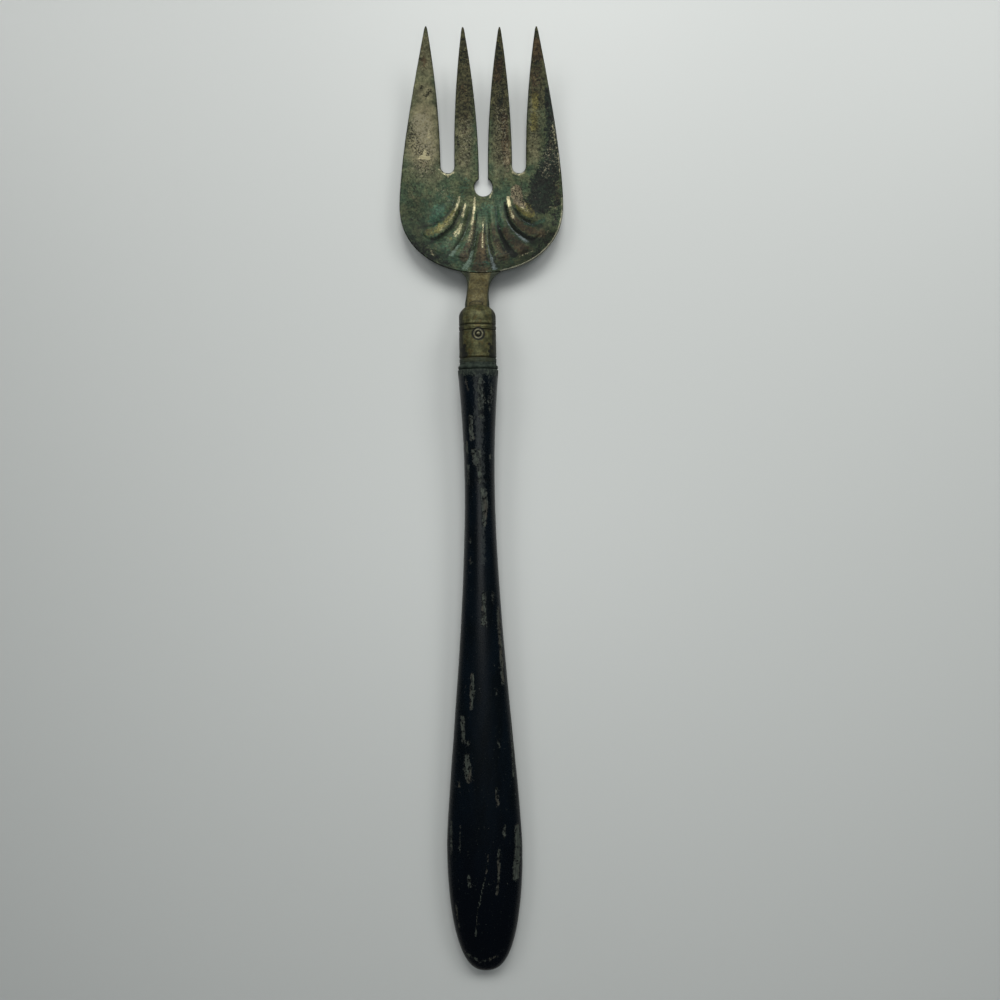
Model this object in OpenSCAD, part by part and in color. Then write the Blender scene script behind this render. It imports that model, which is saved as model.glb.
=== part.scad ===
// Salad serving fork: a pressed metal head with four tines and a shell ornament,
// a cast shank soldered under its heel, a turned brass ferrule with a cross pin,
// and an oval wooden handle. Millimetres, face up on a table at z = 0, tines towards +Y.

/* [Head outline] */
// Length from the tine tips to the mouth of the ferrule
head_length = 81.2; // [78:0.2:86]
// Full width of the bowl at its widest
bowl_width = 48.9; // [45:0.1:54]
// Distance from the tine tips to the widest place
widest_from_tips = 51; // [49:0.5:53]
// Distance from the tine tips to the heel, where the shank comes out
heel_from_tips = 71.3; // [68:0.1:74]

/* [Head depth] */
// Thickness of the pressed sheet in the bowl
sheet = 1.4; // [1:0.1:2]
// Thickness of the sheet at the tine tips
tip_sheet = 1; // [0.7:0.1:1.6]
// Rise of the rim above the middle of the bowl at its widest
bowl_depth = 5; // [3:0.2:8]
// Distance from the tine tips to the place where the bowl rests on the table
rest_from_tips = 53; // [50:0.5:56]
// Height of the face of the bowl at the heel
heel_height = 7.6; // [5:0.1:9]
// Height of the face of the tines at their tips
tip_height = 12; // [6:0.5:18]

/* [Tines] */
// Length of the outer tines, from their tips to the bottom of the side slots
tine_length = 40.7; // [38.5:0.1:42]
// Spacing of the tines, centre to centre at their tips
tine_pitch = 10.8; // [10:0.1:11.4]
// Width of each tine at its tip
tip_width = 0.6; // [0.4:0.1:1.2]
// Width of the two side slots at their bottoms
side_slot_width = 4.15; // [3:0.05:5.5]
// Width of the middle slot above its round hole
middle_slot_width = 2.75; // [1.5:0.05:4]
// Diameter of the round hole that ends the middle slot
keyhole_diameter = 5.5; // [4.6:0.1:6.4]
// Distance from the tine tips to the centre of that hole
keyhole_from_tips = 44.85; // [44:0.05:46]
// How far the slots stand to the right of the middle at their bottoms
slot_shift = 0.55; // [-1:0.05:1]

/* [Shell ornament] */
// Height of the lobes above the grooves between them
lobe_relief = 0.75; // [0.2:0.05:1.1]
// Angle between neighbouring lobes where they reach the rim
lobe_angle = 22; // [20:0.5:22.5]
// Share of the relief that shows on the back of the sheet
back_relief_share = 0.6; // [0:0.05:1]

/* [Shank] */
// Width of the shank where it meets the heel
shank_root_width = 9; // [7:0.1:11]
// Width of the shank at its narrowest
shank_narrow_width = 6.2; // [5:0.1:7]
// Width of the shank in the mouth of the ferrule
shank_end_width = 7.2; // [6.4:0.1:7.8]
// Thickness of the shank in the mouth of the ferrule
shank_end_thickness = 4.8; // [4:0.1:6]
// Length of the tongue soldered under the bowl
tongue_length = 11.5; // [6:0.5:14]
// Thickness of the tongue at the heel
tongue_thickness = 2.2; // [1.4:0.1:2.6]
// Step of the bowl's face above the shank at the heel
heel_step = 0.25; // [0:0.05:0.6]
// Width of the flat tang inside the ferrule and the handle
tang_width = 4.6; // [3.6:0.1:5]
// Thickness of that tang
tang_thickness = 2.8; // [2:0.1:3.4]
// Length of the tang from the mouth of the ferrule
tang_length = 48; // [30:1:60]

/* [Ferrule and pin] */
// Length of the ferrule
ferrule_length = 19.3; // [18:0.1:24]
// Outer diameter of the ferrule's tube
ferrule_diameter = 10.84; // [10.2:0.02:12]
// Wall of the ferrule
ferrule_wall = 0.8; // [0.6:0.05:1.2]
// Length of the ferrule's domed shoulder
shoulder_length = 4; // [2.6:0.1:4.5]
// Diameter of the bead at the handle's end of the ferrule
bead_diameter = 11.8; // [11.2:0.1:13]
// Width of that bead
bead_width = 1.2; // [0.8:0.1:1.6]
// Depth of the turned grooves
groove_depth = 0.22; // [0.1:0.02:0.35]
// Width of the turned grooves
groove_width = 0.45; // [0.3:0.05:0.7]
// Distance from the mouth of the ferrule to the first groove
first_groove_at = 6.6; // [5:0.1:7]
// Distance from the first groove to the second
groove_spacing = 1.3; // [0.8:0.1:1.4]
// Distance from the mouth of the ferrule to the lower groove
lower_groove_at = 16; // [12.5:0.1:16.4]
// Distance from the mouth of the ferrule to the cross pin
pin_at = 9.25; // [9:0.05:12]
// Diameter of the pin's shaft
pin_diameter = 1.6; // [1.2:0.1:2]
// Diameter of the pin's riveted heads
pin_head_diameter = 3.2; // [2.6:0.1:3.8]
// Depth of the flat seats that are cut for those heads
pin_seat_depth = 0.35; // [0.25:0.05:0.5]

/* [Handle] */
// Length of the handle below the ferrule
handle_length = 179.4; // [150:0.2:200]
// Width of the handle against the ferrule
handle_top_width = 12.1; // [11.8:0.1:13]
// Width of the handle at its waist
waist_width = 8.95; // [8:0.05:10.5]
// Thickness of the handle at its waist
waist_thickness = 8.5; // [7.5:0.1:10]
// Distance from the top of the handle to its waist
waist_from_top = 34.4; // [28:0.2:44]
// Width of the handle at its widest
palm_width = 22.6; // [18:0.1:26]
// Thickness of the handle at its widest
palm_thickness = 10.6; // [9:0.1:14]
// Distance from the widest place to the rounded end
palm_from_end = 38; // [28:0.5:46]

/* [Set of the handle] */
// Height of the handle's axis at the mouth of the ferrule
neck_height = 10.8; // [9:0.1:16]
// How far the ferrule's mouth stands to the left of the head's middle
neck_shift = 1.15; // [-2:0.05:2]
// Angle by which the handle leans to the right
handle_lean = 0.77; // [-2:0.01:2]

/* [Fits] */
// Gap round the shank and the pin, and between the wood and the metal
fit_gap = 0.05; // [0.03:0.01:0.1]

/* [Hidden] */
// Places along the handle's axis, counted from the mouth of the ferrule
handle_top_at = ferrule_length + fit_gap;
waist_at = handle_top_at + waist_from_top;
handle_end_at = handle_top_at + handle_length;
palm_at = handle_end_at - palm_from_end;
end_gap = 0.4;
spigot_overlap = 3;
spigot_top_at = shoulder_length + ferrule_wall + end_gap;
spigot_root_at = handle_top_at + spigot_overlap;

// Shape of the handle's outline: powers of its swell and of its rounded end
swell_start = 1.7;
swell_finish = 1.35;
end_fullness = 2.2;
end_roundness = 0.378;
handle_sides = 32;
handle_corner = 0.5;
corner_inset = 0.3;
tip_facet = 0.06;

// Smooth step from 0 to 1, and a value part of the way between two others
function smooth(t) = let (c = max(0, min(1, t))) c * c * (3 - 2 * c);
function between(a, b, t) = a + (b - a) * t;

// Handle profile: s runs along the axis, low and high are sizes at the waist and the palm
function swell(s) = let (t = max(0, min(1, (s - waist_at) / (palm_at - waist_at))))
    1 - pow(1 - pow(t, swell_start), swell_finish);
function rounding(s) = let (t = max(0, min(1, (s - palm_at) / palm_from_end)))
    pow(1 - pow(t, end_fullness), end_roundness);
function neckward(s) = pow(max(0, (waist_at - s) / waist_from_top), 2);
function handle_profile(s, top, low, high) =
    (low + (top - low) * neckward(s) + (high - low) * swell(s)) * rounding(s);
function handle_half_width(s) = handle_profile(s, handle_top_width, waist_width, palm_width) / 2;
function handle_half_thickness(s) =
    handle_profile(s, handle_top_width, waist_thickness, palm_thickness) / 2;

// Rings of the handle, closer together towards the rounded end
handle_stations = concat(
    [handle_top_at + handle_corner],
    [for (i = [1:8]) between(handle_top_at, waist_at, i / 8)],
    [for (i = [1:14]) between(waist_at, palm_at, i / 14)],
    [for (a = [12:12:84]) palm_at + palm_from_end * sin(a)],
    [handle_end_at - tip_facet]
);

// The handle tips down until it touches the table: the smallest angle at which a ring does
function touch_angle(s) = let (h = handle_half_thickness(s))
    asin(neck_height / norm([s, h])) - atan2(h, s);
handle_pitch = min([for (s = handle_stations) if (s > waist_at) touch_angle(s)]);

// Places along Y, with the whole fork centred on the origin
handle_reach = handle_end_at * cos(handle_pitch) * cos(handle_lean);
tip_y = (head_length + handle_reach) / 2;
mouth_y = tip_y - head_length;
heel_y = tip_y - heel_from_tips;
widest_y = tip_y - widest_from_tips;
rest_y = tip_y - rest_from_tips;
slot_end_y = tip_y - tine_length;
keyhole_y = tip_y - keyhole_from_tips;
keyhole_radius = keyhole_diameter / 2;
slot_radius = side_slot_width / 2;
fan_y = keyhole_y - keyhole_radius;
fan_run = fan_y - heel_y;
shoulder_y = keyhole_y + sqrt(pow(keyhole_radius, 2) - pow(middle_slot_width / 2, 2));
swing_lead = 5.3;
neck_start_y = heel_y + swing_lead;
half_bowl = bowl_width / 2;

// Shape of the head's outline: powers of its side, its slots and its heel
side_power = 1.57;
side_slot_power = 2.2;
middle_slot_power = 2;
heel_power = 2.2;

// Share of the way up the tines, 0 at the bottom of the side slots and 1 at the tips
function up(y) = max(0, (y - slot_end_y) / tine_length);
// Half width of the head above its widest place
outer_tip_x = 1.5 * tine_pitch + tip_width / 2;
function side_x(y) =
    half_bowl - (half_bowl - outer_tip_x) * pow(max(0, (y - widest_y) / widest_from_tips), side_power);
// Half widths of the slots, with their round ends
slot_tip_half = (tine_pitch - tip_width) / 2;
function side_slot_half(y) =
    y <= slot_end_y ? 0 :
    let (drop = max(0, slot_end_y + slot_radius - y))
    sqrt(max(0, pow(slot_radius, 2) - pow(drop, 2)))
        + (slot_tip_half - slot_radius) * pow(up(y), side_slot_power);
function middle_slot_half(y) =
    y >= shoulder_y
        ? middle_slot_width / 2 + (slot_tip_half - middle_slot_width / 2) * pow(up(y), middle_slot_power)
        : sqrt(max(0, pow(keyhole_radius, 2) - pow(y - keyhole_y, 2)));
function shift_x(y) = slot_shift * (1 - min(1, up(y)));
// The heel and the shank swing aside to meet the ferrule
function swing_x(y) = -neck_shift * smooth((neck_start_y - y) / (neck_start_y - mouth_y));

// Rim below the widest place: q runs from 0 at the heel to 1 at the widest, and on up the side,
// where a whole step of q is this many millimetres
side_run = 20;
function rim(q) = q <= 1
    ? [half_bowl * sin(90 * q), widest_y - (widest_y - heel_y) * pow(cos(90 * q), 2 / heel_power)]
    : let (y = widest_y + side_run * (q - 1)) [side_x(y), y];

// Face of the sheet: a trough along Y that rises to the tips and to the heel
rise_power = 1.8;
heel_rise_power = 1.9;
tip_flattening = 0.75;
heel_flattening = 0.3;
function floor_z(y) = y > rest_y
    ? sheet + (tip_height - sheet) * pow((y - rest_y) / rest_from_tips, rise_power)
    : sheet + (heel_height - sheet) * pow((rest_y - y) / (rest_y - heel_y), heel_rise_power);
function dish_share(y) = y > widest_y
    ? 1 - tip_flattening * smooth((y - widest_y) / widest_from_tips)
    : 1 - heel_flattening * pow((widest_y - y) / (widest_y - heel_y), 2);
function face_z(x, y) = floor_z(y) + bowl_depth * dish_share(y) * pow(x / half_bowl, 2);
function sheet_at(y) = between(sheet, tip_sheet, min(1, up(y)));
function back_z(x, y) = face_z(x, y) - sheet_at(y);

// Lobes of the shell, from the middle one outwards: where each starts and ends along its
// line from the keyhole to the rim, and its share of the relief
lobe_starts = [0.3, 0.07, 0.05, 0.03, 0.03];
lobe_ends = [0.88, 0.8, 0.86, 0.82, 0.65];
lobe_shares = [1, 1, 1, 1, 0.6];
lobes_beside = 4;
half_fan = lobes_beside + 0.5;
lobe_lead = 0.15;
lobe_round = 0.12;
lobe_taper = 0.55;
end_bow = 0.05;
function relief(k, v) =
    let (
        i = min(lobes_beside, round(k)),
        t = 2 * abs(k - i),
        finish = lobe_ends[i] - end_bow * t * t,
        past = max(0, min(1, (v - finish + lobe_round) / lobe_round))
    )
    lobe_relief * lobe_shares[i] * (1 - t * t) * smooth((v - lobe_starts[i]) / lobe_lead)
        * sqrt(1 - past * past) * between(lobe_taper, 1, min(1, v / finish));

// Lines of the fan: k counts lobes from the middle, and each line is a curve with one bend.
// The bends stand further out from line to line, and higher towards the rim.
fan_closing = 0.12;
corner_q = 1.1;
bend_out = 0.082;
bend_spread = 0.0074;
bend_drop = 0.608;
bend_rise = 0.0156;
function fan_q(k) = lobe_angle * k * (1 - fan_closing * pow(k / half_fan, 4)) / 90;
function fan_bend(k) = [half_bowl * k * (bend_out + bend_spread * k),
    fan_y - fan_run * (bend_drop - bend_rise * k * k)];
function curve(a, b, c, v) = (1 - v) * (1 - v) * a + 2 * v * (1 - v) * b + v * v * c;

// Lanes of the head's mesh, left rim to right rim: side, whether it is on an outer tine,
// and its share of the way outwards
fan_cells = 4 * half_fan;
outer_cells = 4;
lanes = concat(
    [for (i = [outer_cells:-1:0]) [-1, true, i / outer_cells]],
    [for (i = [fan_cells:-1:0]) [-1, false, i / fan_cells]],
    [for (i = [0:fan_cells]) [1, false, i / fan_cells]],
    [for (i = [0:outer_cells]) [1, true, i / outer_cells]]
);
lane_count = len(lanes);

// Point of a lane at a height y among the tines and beside the keyhole
function tine_point(lane, y) =
    let (
        outward = lane[1]
            ? between(tine_pitch + side_slot_half(y), side_x(y), lane[2])
            : between(middle_slot_half(y), tine_pitch - side_slot_half(y), lane[2]),
        shift = shift_x(y) * (lane[1] ? 1 - lane[2] : 1)
    )
    [lane[0] * outward + shift, y];

// Point of a lane at a share v of the way down the fan
function fan_point(lane, v) =
    let (
        k = lane[1] ? half_fan : lane[2] * half_fan,
        q = lane[1] ? between(fan_q(half_fan), corner_q, lane[2]) : fan_q(k),
        start = tine_point(lane, fan_y),
        corner = rim(corner_q),
        bend = lane[1]
            ? between(fan_bend(half_fan), [corner.x, (fan_y + corner.y) / 2], lane[2])
            : fan_bend(k),
        finish = rim(q)
    )
    curve(start, [lane[0] * bend.x, bend.y], [lane[0] * finish.x, finish.y], v);

// Rows of the mesh: heights from the tips down to the fan, then shares of the fan
tine_steps = 11;
tine_crowding = 1.3;
slot_steps = 4;
key_steps = 6;
key_open_angle = 130;
tine_rows = [for (i = [0:tine_steps])
    between(tip_y, slot_end_y + slot_radius, pow(i / tine_steps, tine_crowding))];
slot_rows = [for (i = [slot_steps - 1:-1:0])
    slot_end_y + slot_radius * (1 - cos(90 * i / slot_steps))];
key_rows = concat([shoulder_y], [for (i = [key_steps:-1:0])
    keyhole_y - keyhole_radius * cos(key_open_angle * i / key_steps)]);
upper_rows = concat(tine_rows, slot_rows, key_rows);
fan_steps = 20;
row_count = len(upper_rows) + fan_steps;
slot_row = len(tine_rows) + len(slot_rows) - 1;
key_row = slot_row + len(key_rows);

// Back of the three middle lobes: planished flat where the tongue is soldered on
seat_edge_k = 1.5;
seat_fade = 1.5;
function back_share(k, y) =
    back_relief_share * (k < seat_edge_k ? smooth((y - heel_y - tongue_length) / seat_fade) : 1);
function head_vertex(row, lane, back) =
    let (
        in_fan = row >= len(upper_rows),
        v = in_fan ? (row - len(upper_rows) + 1) / fan_steps : 0,
        p = in_fan ? fan_point(lane, v) : tine_point(lane, upper_rows[row]),
        k = lane[2] * half_fan,
        r = in_fan && !lane[1] ? relief(k, v) : 0,
        z = back ? back_z(p.x, p.y) + r * back_share(k, p.y) : face_z(p.x, p.y) + r
    )
    [p.x + swing_x(p.y), p.y, z];

// Lanes that run together below the ends of the slots share one vertex
slot_lanes = [outer_cells + 1, lane_count - outer_cells - 1];
key_lane = lane_count / 2;
function merged(row, c) =
    (row >= slot_row && (c == slot_lanes[0] || c == slot_lanes[1])) || (row >= key_row && c == key_lane)
        ? c - 1 : c;
function vertex_id(row, c, back) = (back ? row_count * lane_count : 0) + row * lane_count + merged(row, c);
function starts_strip(c) = c == 0 || c == slot_lanes[0] || c == key_lane || c == slot_lanes[1];
function is_open(row, c) =
    c == 0 || c == lane_count || (c == key_lane ? row < key_row : row < slot_row);

// Four-cornered faces split along the diagonal that keeps the rim's corners sound
function split_a(a, b, c, d) = [[a, b, c], [a, c, d]];
function split_b(a, b, c, d) = [[a, b, d], [b, c, d]];
function cell_faces(row, c) =
    let (
        f = [for (back = [false, true]) [
            vertex_id(row, c, back), vertex_id(row, c + 1, back),
            vertex_id(row + 1, c + 1, back), vertex_id(row + 1, c, back)]],
        left = c < key_lane
    )
    concat(
        left ? split_b(f[0][0], f[0][1], f[0][2], f[0][3]) : split_a(f[0][0], f[0][1], f[0][2], f[0][3]),
        left ? split_a(f[1][1], f[1][0], f[1][3], f[1][2]) : split_b(f[1][1], f[1][0], f[1][3], f[1][2])
    );
function wall(a, b, a_back, b_back) = split_a(a, b, b_back, a_back);
function edge_wall(row_a, c_a, row_b, c_b) =
    wall(vertex_id(row_a, c_a, false), vertex_id(row_b, c_b, false),
        vertex_id(row_a, c_a, true), vertex_id(row_b, c_b, true));

module pressed_head() {
    points = [for (back = [false, true], row = [0:row_count - 1], lane = lanes)
        head_vertex(row, lane, back)];
    cells = [for (c = [0:lane_count - 2]) if (!starts_strip(c + 1)) c];
    edges = [for (c = [0:lane_count]) if (starts_strip(c) || c == lane_count) c];
    faces = concat(
        [for (row = [0:row_count - 2], c = cells, f = cell_faces(row, c)) f],
        [for (row = [0:row_count - 2], c = edges)
            if (c < lane_count && is_open(row, c)) each edge_wall(row, c, row + 1, c)],
        [for (row = [0:row_count - 2], c = edges)
            if (c > 0 && is_open(row, c)) each edge_wall(row + 1, c - 1, row, c - 1)],
        [for (c = cells, f = edge_wall(0, c + 1, 0, c)) f],
        [for (c = cells, f = edge_wall(row_count - 1, c, row_count - 1, c + 1)) f]
    );
    polyhedron(points = points, faces = faces, convexity = 6);
}

// Shank: the top line of its neck is a smooth ramp from the heel to the ferrule
ring_sides = 24;
neck_run = heel_y - mouth_y;
root_slope = -0.6;
function ramp(a, b, slope_a, slope_b, t) =
    a * (1 + 2 * t) * pow(1 - t, 2) + b * t * t * (3 - 2 * t)
        + slope_a * t * pow(1 - t, 2) - slope_b * t * t * (1 - t);
function neck_top_z(q) = ramp(heel_height - heel_step, neck_height + shank_end_thickness / 2,
    -root_slope * neck_run, -neck_run * tan(handle_pitch), q);
root_thickness = tongue_thickness + sheet + fit_gap - heel_step;
root_flare_power = 6;
end_flare_power = 4;
function neck_half_width(q) = (shank_narrow_width
    + (shank_root_width - shank_narrow_width) * pow(1 - q, root_flare_power)
    + (shank_end_width - shank_narrow_width) * pow(q, end_flare_power)) / 2;
ring_fullness = 2.5;
function bulge(u) = sqrt(max(0, 1 - pow(abs(u), ring_fullness)));

// Half of a ring's height above or below: flat-topped where oval is 0, an oval where it is 1
function ring_top(z, h, oval, u) = z - oval * h / 2 * (1 - bulge(u));
function ring_bottom(z, h, oval, u) =
    z - (1 - oval) * h * bulge(u) - oval * h / 2 * (1 + bulge(u));
function heel_edge_y(x) = rim(asin(min(1, abs(x) / half_bowl)) / 90).y;

// Tongue: its outline and its underside both run out to nothing under the bowl
tongue_side_power = 1.3;
tongue_end_power = 0.6;
tongue_taper_power = 0.7;
function tongue_ring(q) =
    let (
        half = shank_root_width / 2 * pow(1 - pow(q, tongue_side_power), tongue_end_power),
        h = tongue_thickness * pow(1 - q, tongue_taper_power)
    )
    [for (i = [0:ring_sides - 1])
        let (
            u = cos(360 * i / ring_sides),
            x = half * u,
            y = between(heel_edge_y(x), heel_y + tongue_length, q) - (q == 0 ? fit_gap : 0),
            z = back_z(x, max(y, heel_y)) - fit_gap
        )
        [x + swing_x(y), y, i <= ring_sides / 2 ? z : ring_bottom(z, h, 0, u)]];

// Neck: flat-topped at the heel, and an oval by the time it enters the ferrule
oval_at_root = 0.15;
oval_gain = 1.3;
function neck_ring(q) =
    let (
        half = neck_half_width(q),
        h = between(root_thickness, shank_end_thickness, q),
        oval = min(1, oval_at_root + oval_gain * q),
        z = neck_top_z(q)
    )
    [for (i = [0:ring_sides - 1])
        let (
            u = cos(360 * i / ring_sides),
            x = half * u,
            y = between(heel_edge_y(x) - fit_gap, mouth_y, q)
        )
        [x + swing_x(y), y, i <= ring_sides / 2 ? ring_top(z, h, oval, u) : ring_bottom(z, h, oval, u)]];

// The end of the neck runs straight into the ferrule, along the handle's axis
end_run = 2;
tang_start_at = -1.5;
overcut = 1;
function end_ring() = [for (p = neck_ring(1)) p + end_run
    * [sin(handle_lean) * cos(handle_pitch), -cos(handle_lean) * cos(handle_pitch), -sin(handle_pitch)]];

// A closed solid from rings of equal count, each the next one along
module loft(rings, tip) {
    n = len(rings[0]);
    last = len(rings) - 1;
    sides = [for (r = [0:last - 1], i = [0:n - 1])
        let (j = (i + 1) % n)
        each [[r * n + i, (r + 1) * n + i, (r + 1) * n + j], [r * n + i, (r + 1) * n + j, r * n + j]]];
    start = [[for (i = [0:n - 1]) i]];
    finish = len(tip) == 0
        ? [[for (i = [n - 1:-1:0]) last * n + i]]
        : [for (i = [0:n - 1]) [last * n + (i + 1) % n, last * n + i, (last + 1) * n]];
    polyhedron(points = concat([for (ring = rings) each ring], tip),
        faces = concat(start, sides, finish), convexity = 4);
}

// Everything on the handle's axis: Z runs from the mouth of the ferrule to the butt, Y is up
module on_handle_axis() {
    translate([-neck_shift, mouth_y, neck_height])
        rotate([0, 0, handle_lean])
            rotate([handle_pitch, 0, 0])
                rotate([90, 0, 0])
                    children();
}

module pin_bore(clearance) {
    translate([0, 0, pin_at])
        rotate([90, 0, 0])
            cylinder(d = pin_diameter + 2 * clearance, h = 2 * ferrule_diameter, center = true, $fn = 48);
}

module flat_bar(width, thickness, from, to) {
    translate([-width / 2, -thickness / 2, from])
        cube([width, thickness, to - from]);
}

module stadium(width, height, from, to) {
    translate([0, 0, from])
        linear_extrude(height = to - from)
            union() {
                square([width - height, height], center = true);
                for (side = [-1, 1])
                    translate([side * (width - height) / 2, 0])
                        circle(d = height, $fn = 64);
            }
}

module fork_head() {
    color([0.45, 0.45, 0.33])
        pressed_head();
}

tongue_shares = [0.97, 0.88, 0.7, 0.45, 0.2, 0];
neck_shares = [0, 0.08, 0.2, 0.35, 0.5, 0.65, 0.8, 0.9, 1];
module shank() {
    color([0.55, 0.48, 0.28])
        difference() {
            union() {
                loft(concat([for (q = tongue_shares) tongue_ring(q)],
                    [for (q = neck_shares) neck_ring(q)], [end_ring()]), []);
                on_handle_axis()
                    flat_bar(tang_width, tang_thickness, tang_start_at, tang_length);
            }
            on_handle_axis()
                pin_bore(fit_gap);
        }
}

// Half section of the ferrule, turned about its axis
ferrule_radius = ferrule_diameter / 2;
bore_radius = ferrule_radius - ferrule_wall;
function groove_points(at) = [
    [ferrule_radius, at - groove_width / 2],
    [ferrule_radius - groove_depth, at],
    [ferrule_radius, at + groove_width / 2]
];
function bead_points() = [for (a = [-90:15:90])
    [ferrule_radius + (bead_diameter - ferrule_diameter) / 2 * cos(a),
        ferrule_length - bead_width / 2 + bead_width / 2 * sin(a)]];
module ferrule_section() {
    outside = concat(
        [for (a = [0:10:90]) [ferrule_radius * sin(a), shoulder_length * (1 - cos(a))]],
        groove_points(first_groove_at),
        groove_points(first_groove_at + groove_spacing),
        groove_points(lower_groove_at),
        bead_points()
    );
    inside = concat(
        [[bore_radius, ferrule_length]],
        [for (a = [90:-15:0]) [bore_radius * sin(a), ferrule_wall + shoulder_length * (1 - cos(a))]]
    );
    polygon(concat(outside, inside));
}

module ferrule() {
    color([0.62, 0.55, 0.28])
        on_handle_axis()
            difference() {
                rotate_extrude($fn = 96)
                    ferrule_section();
                stadium(shank_end_width + 2 * fit_gap, shank_end_thickness + 2 * fit_gap,
                    -overcut, shoulder_length + ferrule_wall);
                pin_bore(fit_gap);
                for (side = [-1, 1])
                    translate([0, side * ferrule_radius, pin_at])
                        rotate([90, 0, 0])
                            cylinder(d = pin_head_diameter + 2 * fit_gap, h = 2 * pin_seat_depth,
                                center = true, $fn = 64);
            }
}

// Half section of the riveted pin: shaft, flange with a ring groove, and a domed centre
flange_height = 0.3;
flange_bevel = 0.08;
dome_height = 0.45;
ring_groove = 0.15;
module pin_section() {
    shaft = pin_diameter / 2;
    flange = pin_head_diameter / 2;
    seat_at = ferrule_radius - pin_seat_depth;
    upper = concat(
        [[shaft, seat_at], [flange, seat_at], [flange, seat_at + flange_height - flange_bevel],
            [flange - flange_bevel, seat_at + flange_height],
            [shaft + ring_groove, seat_at + flange_height],
            [shaft, seat_at + flange_height - ring_groove]],
        [for (a = [0:15:90]) [shaft * cos(a), seat_at + flange_height - ring_groove
            + (dome_height + ring_groove) * sin(a)]]
    );
    polygon(concat(upper, [for (i = [len(upper) - 1:-1:0]) [upper[i].x, -upper[i].y]]));
}

module ferrule_pin() {
    color([0.7, 0.66, 0.5])
        on_handle_axis()
            translate([0, 0, pin_at])
                rotate([-90, 0, 0])
                    rotate_extrude($fn = 64)
                        pin_section();
}

function handle_ring(s, inset) = [for (i = [0:handle_sides - 1])
    let (a = 360 * i / handle_sides)
    [(handle_half_width(s) - inset) * cos(a), (handle_half_thickness(s) - inset) * sin(a), s]];

module handle() {
    color([0.12, 0.11, 0.11])
        on_handle_axis()
            difference() {
                union() {
                    loft(concat([handle_ring(handle_top_at, corner_inset)],
                        [for (s = handle_stations) handle_ring(s, 0)]), [[0, 0, handle_end_at]]);
                    translate([0, 0, spigot_top_at])
                        cylinder(r = bore_radius - fit_gap, h = spigot_root_at - spigot_top_at, $fn = 64);
                }
                flat_bar(tang_width + 2 * fit_gap, tang_thickness + 2 * fit_gap,
                    spigot_top_at - overcut, tang_length + end_gap);
                pin_bore(fit_gap);
            }
}

fork_head();
shank();
ferrule();
ferrule_pin();
handle();
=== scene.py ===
# %% [markdown]
# # An old salad serving fork
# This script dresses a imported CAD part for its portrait. The real object is a salad fork whose
# head was pressed from one sheet of metal and silver plated, soldered to a cast brass shank, and
# set through a turned brass ferrule into an ebonised wooden handle. Decades of use have turned
# the silver olive, brown and slate, left green powder in the grooves of its shell ornament, and
# chipped the black off the wood. The CAD part fixes every size. Blender adds the finer shape of
# the ornament, the soft edges, and the finishes. Lengths below are in millimetres on the part's
# own axes, and each piece is scaled to metres as its last step.

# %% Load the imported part
import math

import bmesh
import bpy
from mathutils import Matrix, Vector, noise
from mathutils.bvhtree import BVHTree


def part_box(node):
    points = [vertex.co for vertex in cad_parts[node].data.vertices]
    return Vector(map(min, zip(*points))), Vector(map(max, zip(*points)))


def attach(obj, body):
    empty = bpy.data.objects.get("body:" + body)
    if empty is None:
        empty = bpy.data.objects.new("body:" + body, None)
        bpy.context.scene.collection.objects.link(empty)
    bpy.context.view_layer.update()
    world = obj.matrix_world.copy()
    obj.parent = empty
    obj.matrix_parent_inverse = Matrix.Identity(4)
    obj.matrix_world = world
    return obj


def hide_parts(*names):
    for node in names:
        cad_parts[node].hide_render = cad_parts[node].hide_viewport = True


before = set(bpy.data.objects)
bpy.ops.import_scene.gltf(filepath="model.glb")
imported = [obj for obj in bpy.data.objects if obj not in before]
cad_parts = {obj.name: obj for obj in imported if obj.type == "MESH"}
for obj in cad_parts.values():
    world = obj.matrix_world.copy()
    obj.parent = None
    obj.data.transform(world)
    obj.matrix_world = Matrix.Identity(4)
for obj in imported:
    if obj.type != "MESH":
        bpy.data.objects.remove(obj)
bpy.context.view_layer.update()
MM = 0.001
print("nodes:", sorted(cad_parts))

# %% [markdown]
# ## The camera
# The photograph looks straight down at the fork from about a third of a metre. A camera with no
# rotation looks along -Z with +Y up in its picture, so it only has to be lifted above the table.
# Its lens follows from the width of table that the square picture takes in.

# %% Camera
EYE = Vector((5.57, 1.07, 330.0)) * MM
TABLE_SEEN = 304.2 * MM
SENSOR = 36.0
camera_data = bpy.data.cameras.new("camera")
camera_data.sensor_fit = "HORIZONTAL"
camera_data.sensor_width = SENSOR
camera_data.lens = SENSOR * EYE.z / TABLE_SEEN
camera_data.clip_start = 0.01
camera = bpy.data.objects.new("camera", camera_data)
camera.location = EYE
bpy.context.scene.collection.objects.link(camera)
bpy.context.scene.camera = camera
bpy.context.scene.view_settings.view_transform = "Standard"
print("lens", round(camera_data.lens, 2), "mm")

# %% [markdown]
# ## Shader maths as Python
# A finish is a tree of nodes, and most of the nodes are arithmetic. Writing each one out hides
# the idea, so a small class wraps one socket and lets Python's own operators add the Math nodes:
# `1 - mask * 0.5` becomes two nodes. A second class holds a material, and its one method `node`
# makes any other node from its type, its settings and its inputs.

# %% Signals and finishes
def paint(code):
    """Turns a colour written as in a paint chart, such as "6a6546", into linear values."""
    parts = [int(code[i:i + 2], 16) / 255 for i in (0, 2, 4)]
    linear = [c / 12.92 if c <= 0.04045 else ((c + 0.055) / 1.055) ** 2.4 for c in parts]
    return (*linear, 1.0)


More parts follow.
